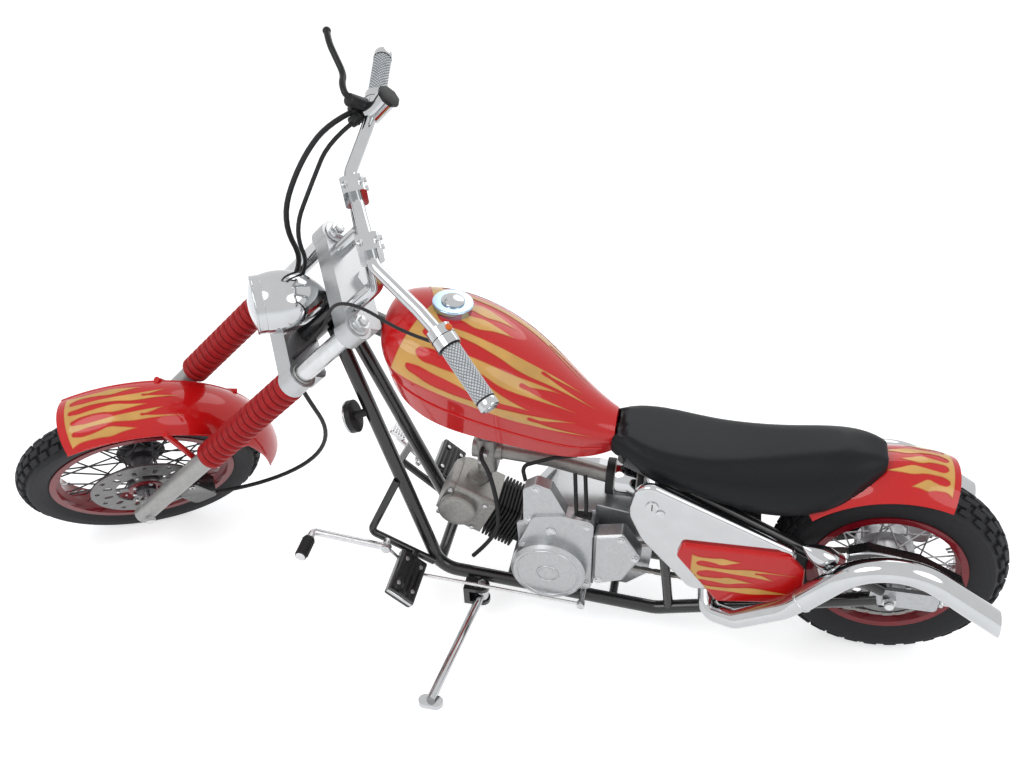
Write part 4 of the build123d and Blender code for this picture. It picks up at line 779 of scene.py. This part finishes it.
# Engine: a small horizontal single with polished alloy side covers on screws, a black finned
# barrel, a grey cast head with a round cap, and an open carburettor with a plated air can.
cover_alloy = finish("cover_alloy", (0.47, 0.48, 0.49), 0.33, metal=0.75, mottle=0.07, grain=160, relief=0.06)
head_alloy = finish("head_alloy", (0.3, 0.295, 0.28), 0.45, metal=0.6, mottle=0.14, grain=150, relief=0.14)
barrel_black = finish("barrel_black", (0.016, 0.016, 0.016), 0.55, mottle=0.2, grain=160, relief=0.1)
dress(cover_alloy, "crankcase", "clutch_cover", edge=4)
dress(cover_alloy, "magneto_cover", edge=3.5)
dress(cover_alloy, "sprocket_cover", edge=6)
dress(head_alloy, "cylinder_head", "carburettor")
dress(barrel_black, "cylinder")
CRANK = on_bike(-125, 0, 185)
boss_rings = [ring([(112.6, 60), (114.2, 61), (114.2, 64), (112.6, 65)], 72),
              ring([(112.6, 19), (114.6, 20), (114.6, 22.5), (113.2, 23.5), (112.6, 23.5)], 48),
              ring([(112.8, 0.01), (115.2, 0.01), (114.8, 12), (113.4, 17), (112.8, 17)], 48)]
for ob in boss_rings:
    ob.data.transform(Matrix.Translation(CRANK))
mount_on_frame(boss_rings, "magneto_cover_rings", cover_alloy)
ENGINE_UP = Vector((-sin(radians(25)), 0, cos(radians(25))))
ENGINE_OUT = Vector((cos(radians(25)), 0, sin(radians(25))))
head_cap = CRANK + ENGINE_OUT * 0.216
dome = ring([(60.6, 37), (63, 36.4), (65, 33), (66.4, 26), (67.2, 15), (67.4, 0.01), (60.6, 0.01)], 56)
dome.data.transform(Matrix.Translation(head_cap))
domes = [dome, band(head_cap + LEFT * 0.061, LEFT, 37.6, 1.4)]
mount_on_frame(domes, "head_cap_dome", head_alloy)
screws = []
for x, y, z in ((-97, 86, 388), (-84, 86, 306), (-200, 92, 308), (-74, 92, 236), (-200, 92, 146),
                (-268, 104, 298), (-296, 104, 250), (-226, 104, 176)):
    screws.append(rod(on_bike(x, y - 1, z), LEFT, 6.5, 5, 6, 0.8))
    screws.append(rod(on_bike(x, y - 1, z), LEFT, 8.5, 2.2, 24, 0.5))
for x, z in ((-96, 228), (-112, 142), (-206, 142), (-286, 150), (-298, 240), (-278, 292), (-196, 308),
             (-120, 296)):
    screws.append(rod(on_bike(x, -99, z), RIGHT, 6.5, 5, 6, 0.8))
for along, up in ((0.246, 0.034), (0.246, -0.034), (0.17, 0.036), (0.17, -0.036)):
    screws.append(rod(CRANK + ENGINE_OUT * along + ENGINE_UP * up + LEFT * 0.048, LEFT, 5.4, 5, 6, 0.7))
mount_on_frame(screws, "engine_screws", screw_zinc)
plug_ring = [rod(on_bike(-128, 91, 284), LEFT, 11, 3.4, 28, 0.8),
             rod(on_bike(-128, 94, 284), LEFT, 8.4, 1.4, 28, 0.4)]
mount_on_frame(plug_ring, "timing_plug", screw_zinc)
gasket = run_tube([on_bike(-213, 105, z) for z in (168, 210, 252, 296)], 1.1)
mount_on_frame([gasket], "cover_gap", black_rubber)
air_can = rod(on_bike(-240, 0, 367), BACK, 36, 46, 56, 5)
mount_on_frame([air_can], "air_can", chrome)
can_bands = [rod(on_bike(-224, 0, 367), BACK, 36.6, 16, 56, 1.5),
             rod(on_bike(-286, 0, 367), BACK, 36.6, 12, 56, 1.5)]
mount_on_frame(can_bands, "air_can_bands", black_rubber)
fittings = [rod(on_bike(18, -14, 341), UP, 19, 16, 32, 4), rod(on_bike(18, -14, 423), UP, 20, 10, 32, 2),
            rod(on_bike(18, 6, 396), LEFT, 6, 12, 6, 1), rod(on_bike(30, 6, 372), LEFT, 4, 9, 16, 1)]
mount_on_frame(fittings, "carburettor_fittings", cover_alloy)
dress(black_rubber, "engine_leads")
grommet = start(bpy.ops.mesh.primitive_cube_add, size=1)
grommet.data.transform(Matrix.Translation(on_bike(-185, 75, 321)) @ Matrix.Diagonal((0.042, 0.02, 0.012, 1)))
soft = grommet.modifiers.new("soft", "BEVEL")
soft.width = 0.003
soft.segments = 3
bpy.ops.object.modifier_apply(modifier="soft")
mount_on_frame([grommet], "lead_grommet", black_rubber)

# Overflow hose: a loose black rubber tube pushed on a spigot of the carburettor, which hangs down
# beside the barrel and ends open under the engine.
hose_route = [on_bike(24, 8, 405.6), on_bike(24, 44, 420), on_bike(-2, 62, 392), on_bike(-18, 66, 300),
              on_bike(-14, 66, 226), on_bike(40, 66, 156)]
hose_data = tube_line("overflow_hose_line", [PARKED @ point for point in hose_route], 4.5, 4, 12)
hose = bpy.data.objects.new("overflow_hose_line", hose_data)
scene.collection.objects.link(hose)
hose_data.materials.append(black_rubber)
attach(hose, "frame")
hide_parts("overflow_hose")

# Exhaust: plated steel pipes from a cross pipe under the frame, each with a wider sleeve pushed
# over it, a clamp at the sleeve's mouth and a slash-cut open end.
dress(chrome, "exhaust_left", "exhaust_right", "exhaust_header")
soot = finish("soot", (0.02, 0.019, 0.018), 0.8, mottle=0.3, grain=200)
clamps = []
liners = []
pipe_turns = ((-592, 156, 226), (-742, 164, 420), (-975, 170, 270))
for side in (1, -1):
    low, arch, end = (on_bike(x, y * side, z) for x, y, z in pipe_turns)
    mouth = low + (arch - low) * 0.15
    clamps.append(band(mouth + (arch - low).normalized() * 0.004, arch - low, 22.6, 1.8))
    back = (arch - end).normalized()
    liner = ((0, 20.9), (78, 20.9), (78, 0.01), (77, 0.01), (77, 20.2), (0, 20.2))
    liners.append(turned(liner, 40, end + back * 0.038, back))
mount_on_frame(clamps, "exhaust_clamps", chrome)
mount_on_frame(liners, "exhaust_soot", soot)

# Fuel tank: a pressed steel teardrop in candy red with gold flames from its nose, a rolled seam
# along its lower edge, and a plated screw cap with a domed middle.
dress(candy_red, "fuel_tank")
HEAD_NODE = on_fork(0, 0, 676)
SEAT_NODE = on_bike(-262, 0, 468)


def round_tank(u, v):
    """In onto the tank: u back along it, more so towards its top, v round it from its top to the left."""
    x = 0.096 - (u - 0.36 * abs(v)) / 1000
    share = (HEAD_NODE.x - x) / (HEAD_NODE.x - SEAT_NODE.x)
    middle = Vector((x, 0, HEAD_NODE.z + (SEAT_NODE.z - HEAD_NODE.z) * share + 0.012))
    out = Vector((0, sin(v / 100), cos(v / 100)))
    return middle + out * 0.3, -out


left_licks = ((150, 326, 148, -26), (118, 220, 122, 0), (86, 276, 94, -26), (52, 300, 52, -24),
              (18, 140, 12, 0))
right_licks = tuple((-v, tip_u, -tip_v, -fork) for v, tip_u, tip_v, fork in reversed(left_licks))
tank_licks = left_licks + right_licks
painted_flames("tank_flames", "fuel_tank", PARKED, "frame",
               flame_outline(-6, 14, tank_licks, 24, 13), 4, round_tank)
onto_tank = skin("fuel_tank", PARKED, 0.6)
seams = []
for side in (1, -1):
    seam = [onto_tank(*round_tank(9.2 * k, side * (196 + 0.35 * k))) for k in range(43)]
    seams.append(run_tube(seam, 1.9))
mount_on_frame(seams, "tank_seams", candy_red)
cap_blue = finish("cap_blue", (0.42, 0.56, 0.72), 0.12, metal=1.0, mottle=0.08, grain=12)
dress(cap_blue, "fuel_cap")
CAP_UP = Vector((-0.12, 0, 1)).normalized()
CAP_TOP = on_bike(72.2, 0, 712.9) + CAP_UP * 0.032
cap_edge = band(CAP_TOP - CAP_UP * 0.003, CAP_UP, 35, 2.6)
mount_on_frame([cap_edge], "fuel_cap_edge", cap_blue)
dome_line = ((-0.2, 22), (3, 21.5), (6, 18), (8, 11), (8.6, 0.01), (-0.2, 0.01))
dome = turned(dome_line, 48, CAP_TOP, CAP_UP)
mount_on_frame([dome], "fuel_cap_dome", chrome)

# Seat: a low foam saddle under stretched black vinyl, moulded in one piece from its nose behind
# the tank to its wide back, on a pan bolted to the stays.
seat_vinyl = finish("seat_vinyl", (0.011, 0.012, 0.014), 0.42, mottle=0.15, grain=320, relief=0.12,
                    shine=0.16)
seat = bpy.data.objects.new("seat_cover", nodes["seat"].data.copy())
scene.collection.objects.link(seat)
pick(seat)
seat.data.remesh_voxel_size = 0.0055
bpy.ops.object.voxel_remesh()
tuck = seat.modifiers.new("tuck", "DISPLACE")
tuck.mid_level = 1.0
tuck.strength = 0.004
bpy.ops.object.modifier_apply(modifier="tuck")
unstuffed = [corner.co.copy() for corner in seat.data.vertices]
stuffing = seat.modifiers.new("stuffing", "CLOTH")
stuffing.settings.use_pressure = True
stuffing.settings.uniform_pressure_force = 4
stuffing.settings.effector_weights.gravity = 0
for moment in range(1, 21):
    scene.frame_set(moment)
bpy.ops.object.modifier_apply(modifier="stuffing")
MOST_SWELL = 0.005
for corner, before in zip(seat.data.vertices, unstuffed):
    shift = corner.co - before
    if shift.length > MOST_SWELL:
        corner.co = before + shift.normalized() * MOST_SWELL
scene.frame_set(1)
finer = seat.modifiers.new("finer", "SUBSURF")
finer.levels = 1
bpy.ops.object.modifier_apply(modifier="finer")
set_down(seat, "seat_cover", Matrix.Identity(4), "frame", seat_vinyl, 60)
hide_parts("seat")

# Rear mudguard, side covers and panels: a short red steel guard with small flames, plated covers
# on the frame with a key lock on the left one, and red moulded panels with flames.
dress(candy_red, "rear_fender", "side_panels")
REAR_GUARD_R = 273


def rounded_plate(corners, corner_r, low, high, soft):
    """A plate beside the frame from corners (x, z) in millimetres, with its corners and edges rounded."""
    data = bpy.data.curves.new("plate", "CURVE")
    data.dimensions = "2D"
    data.fill_mode = "BOTH"
    data.extrude = ((high - low) / 2 - soft) / 1000
    data.bevel_depth = soft / 1000
    data.bevel_resolution = 4
    data.offset = -soft / 1000
    run = data.splines.new("BEZIER")
    run.bezier_points.add(2 * len(corners) - 1)
    for k, corner in enumerate(corners):
        spot = Vector(corner) / 1000
        for step, near in ((0, corners[k - 1]), (1, corners[(k + 1) % len(corners)])):
            way = (Vector(near) / 1000 - spot).normalized() * corner_r / 1000
            knot = run.bezier_points[2 * k + step]
            knot.handle_left_type = knot.handle_right_type = "FREE"
            knot.co = (*(spot + way), 0)
            knot.handle_left = (*(spot + way * (0.45 if step else 1.3)), 0)
            knot.handle_right = (*(spot + way * (1.3 if step else 0.45)), 0)
    run.use_cyclic_u = True
    run.resolution_u = 10
    ob = as_mesh(data)
    ob.data.transform(Matrix.Translation((0, (low + high) / 2000, 0)) @ Matrix.Rotation(pi / 2, 4, "X"))
    return ob


cover_corners = ((-316, 462), (-288, 446), (-277, 384), (-306, 318), (-408, 200), (-592, 222), (-598, 336))
covers = merge([rounded_plate(cover_corners, 14, low, high, 8.5) for low, high in ((98, 118), (-118, -98))])
set_down(covers, "rounded_side_covers", PARKED, "frame", chrome, 50)
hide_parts("side_covers")


def over_rear(u, v):
    """Down onto the rear mudguard: u forward along it from its end, v to the left."""
    angle = radians(-17) + u / REAR_GUARD_R
    out = Vector((sin(angle), 0, cos(angle)))
    return REAR_AXLE + out * FROM_ABOVE + Vector((0, v / 1000, 0)), -out


rear_licks = ((50, 84, 56, 0), (26, 128, 30, 0), (0, 104, 2, 0), (-26, 136, -22, 0), (-50, 92, -52, 0))
painted_flames("rear_fender_flames", "rear_fender", PARKED, "frame",
               flame_outline(9, 10, rear_licks, 9, 9.5), 4, over_rear)


def panel_side(side):
    """In onto a side panel: u back from its front, v up."""
    return lambda u, v: (on_bike(-384 - u, side * 200, 262 + v), Vector((0, -side, 0)))


panel_licks = ((40, 110, 44, 0), (16, 190, 26, -19), (-10, 134, -8, 0), (-34, 206, -26, 0))
for name, side in (("left_panel_flames", 1), ("right_panel_flames", -1)):
    painted_flames(name, "side_panels", PARKED, "frame",
                   flame_outline(22, 9, panel_licks, 10, 9), 8, panel_side(side))
lock = [rod(on_bike(-322, 117, 412), LEFT, 12, 4, 32, 1), rod(on_bike(-338, 117, 396), LEFT, 9, 4, 32, 1)]
mount_on_frame(lock, "key_lock", screw_zinc)
# Painted shade: a thin black bar on the lock's face stands for the dark inside of the key slot.
slot_shade_mark = rod(on_bike(-322, 120.4, 404), UP, 1.2, 16, 6)
mount_on_frame([slot_shade_mark], "key_slot_shade", black_rubber)

# Tail: plated bullet lamps with dark red lenses, small red reflectors on black stalks, a black
# chain guard with bright edges, a roller chain, and axle plates with adjuster screws.
dress(chrome, "rear_lamps")
lens_red = finish("lens_red", (0.2, 0.004, 0.012), 0.12, mottle=0.15, grain=60, coat=1.0)
lens_line = ((66, 22.4), (79, 22.4), (83, 19), (86, 10), (86.6, 0.01), (66, 0.01))
lenses = []
stalks = []
reflectors = []
for side in (1, -1):
    lenses.append(turned(lens_line, 40, on_bike(-604, 112 * side, 354), (-0.88, 0, -0.475)))
    foot = on_bike(-694, 88 * side, 270)
    out = Vector((-0.2, side, -0.15))
    stalks.append(rod(foot, out, 4, 24, 16, 0.6))
    reflectors.append(rod(foot + out.normalized() * 0.022, out, 11, 7, 28, 1.5))
mount_on_frame(lenses, "rear_lamp_lenses", lens_red)
mount_on_frame(stalks, "reflector_stalks", black_rubber)
mount_on_frame(reflectors, "reflectors", lens_red)
dress(frame_black, "chain_guard")
dress(cover_alloy, "dropouts")


def by_axle(x, y, z):
    """A point from the rear axle, in millimetres."""
    return REAR_AXLE + Vector((x, y, z)) / 1000


upper_edge = ((88, 95), (58, 110), (8, 105), (-40, 96), (-84, 75), (-124, 53), (-136, 30))
lower_edge = ((88, 76), (30, 76), (-6, 72), (-44, 68), (-78, 50), (-110, 32))
stripes = [run_tube([by_axle(x, 88.2, z) for x, z in edge], 2.4) for edge in (upper_edge, lower_edge)]
mount_on_frame(stripes, "chain_guard_edges", chrome)
adjusters = []
for side in (1, -1):
    y = 92 * side
    adjusters.append(rod(by_axle(-84, y, 0), BACK, 4.5, 52, 20, 0.8))
    adjusters.append(rod(by_axle(-93, y, 0), BACK, 9, 7, 6, 0.9))
    adjusters.append(rod(by_axle(-130, y, 0), BACK, 8.5, 6, 6, 0.9))
    adjusters.append(rod(by_axle(0, side * 108.5, 0), LEFT * side, 9.5, 10, 24, 2))
mount_on_frame(adjusters, "axle_adjusters", screw_zinc)
chain_steel = finish("chain_steel", (0.24, 0.23, 0.22), 0.4, metal=0.9, mottle=0.2, grain=200)
WHEEL_R = 0.0861
DRIVE_R = 0.0321
LINK_PAIR = 0.0254
PLATE_R = 0.0042
PIN_AWAY = 0.0063
drive = on_bike(-262, 57, 208)
hub = REAR_AXLE + LEFT * 0.057
reach = drive - hub
span = reach.length
lean = atan2(sqrt(span ** 2 - (WHEEL_R - DRIVE_R) ** 2), WHEEL_R - DRIVE_R)
heading = atan2(reach.z, reach.x)
straight = span * sin(lean)
wrap_wheel = 2 * WHEEL_R * (pi - lean)
wrap_drive = 2 * DRIVE_R * lean
loop = 2 * straight + wrap_wheel + wrap_drive
count = 2 * round(loop / LINK_PAIR)
links = []
for k in range(count):
    way = loop * k / count
    if way < straight:
        wheel, out, turn, past = hub, WHEEL_R, heading + lean, way
    elif way < straight + wrap_drive:
        wheel, out, turn, past = drive, DRIVE_R, heading + lean - (way - straight) / DRIVE_R, 0
    elif way < 2 * straight + wrap_drive:
        wheel, out, turn, past = drive, DRIVE_R, heading - lean, way - straight - wrap_drive
    else:
        gone = way - 2 * straight - wrap_drive
        wheel, out, turn, past = hub, WHEEL_R, heading - lean - gone / WHEEL_R, 0
    run = Vector((sin(turn), 0, -cos(turn)))
    spot = wheel + Vector((cos(turn), 0, sin(turn))) * out + run * past
    wide = 4.6 if k % 2 else 3.4
    link = start(bpy.ops.mesh.primitive_cylinder_add, vertices=12, radius=PLATE_R, depth=wide / 500)
    for corner in link.data.vertices:
        corner.co.x += PIN_AWAY if corner.co.x > 0.0001 else -PIN_AWAY
    axes = Matrix((run, LEFT.cross(run), LEFT)).transposed().to_4x4()
    link.data.transform(Matrix.Translation(spot) @ axes)
    links.append(link)
chain = merge(links)
set_down(chain, "roller_chain", PARKED, "frame", chain_steel, 30)
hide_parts("drive_chain")

# Foot controls: black brackets on the cradle with ribbed rubber-topped platforms on bolts, a cast
# gear lever with a rubber tip and a ball-jointed rod, and a ribbed brake pad.
dress(frame_black, "pegs")
dress(axle_steel, "gear_lever", "brake_pedal")
tread = []
peg_screws = []
edges = []
fore = Vector((0.77, 0, 0.64)).normalized()
top = Vector((-0.64, 0, 0.77)).normalized()
for side in (1, -1):
    middle = on_bike(152, 104 * side, 182)
    out = LEFT * side
    for k in range(-2, 3):
        tread.append(rod(middle + out * 0.022 + fore * 0.0115 * k + top * 0.0105, out, 3.2, 92, 12, 1))
    for along, shift in ((0.036, -0.017), (0.036, 0.017), (0.1, -0.017), (0.1, 0.017)):
        peg_screws.append(rod(middle + out * along + fore * shift + top * 0.011, top, 4.6, 4, 20, 1))
    edges.append(rod(middle + out * 0.119 - fore * 0.03, fore, 3.4, 60, 12, 0.8))
mount_on_frame(tread, "peg_rubbers", black_rubber)
mount_on_frame(peg_screws, "peg_screws", screw_zinc)
mount_on_frame(edges, "peg_edges", chrome)
tip = [rod(on_bike(351, 160, 246), (0.02, 1, 0), 12, 50, 28, 2.5)]
tip += [band(on_bike(351, 166 + 7 * k, 246), LEFT, 12, 1.1) for k in range(6)]
mount_on_frame(tip, "gear_lever_rubber", black_rubber)
joints = [rod(on_bike(-196, 118, 118), LEFT, 9, 12, 6, 1), rod(on_bike(201, 128, 221), LEFT, 10, 14, 24, 2),
          rod(on_bike(206, -128, 222), RIGHT, 10, 14, 24, 2)]
mount_on_frame(joints, "linkage_joints", screw_zinc)
pad_up = Vector((-0.6, 0, 0.8))
pad_fore = Vector((0.8, 0, 0.6))
pad_top = on_bike(258, -204, 268) + pad_up * 0.0085
ribs = [rod(pad_top + pad_fore * 0.0068 * k, LEFT, 2, 56, 12, 0.6) for k in range(-2, 3)]
mount_on_frame(ribs, "brake_pad_ribs", axle_steel)

# Side stand: a plated steel leg with a flattened foot, swinging on a bolt through a black bracket
# that is welded under the left rail.
dress(frame_black, "stand_bracket")
dress(chrome, "side_stand")
PIVOT = on_bike(12, 112, 100)
STAND_AXIS = Vector((0, 0.05, 1)).normalized()
stand_bolt = rod(PIVOT + STAND_AXIS * 0.0242, STAND_AXIS, 9, 7, 6, 1)
mount_on_frame([stand_bolt], "stand_bolt", screw_zinc)
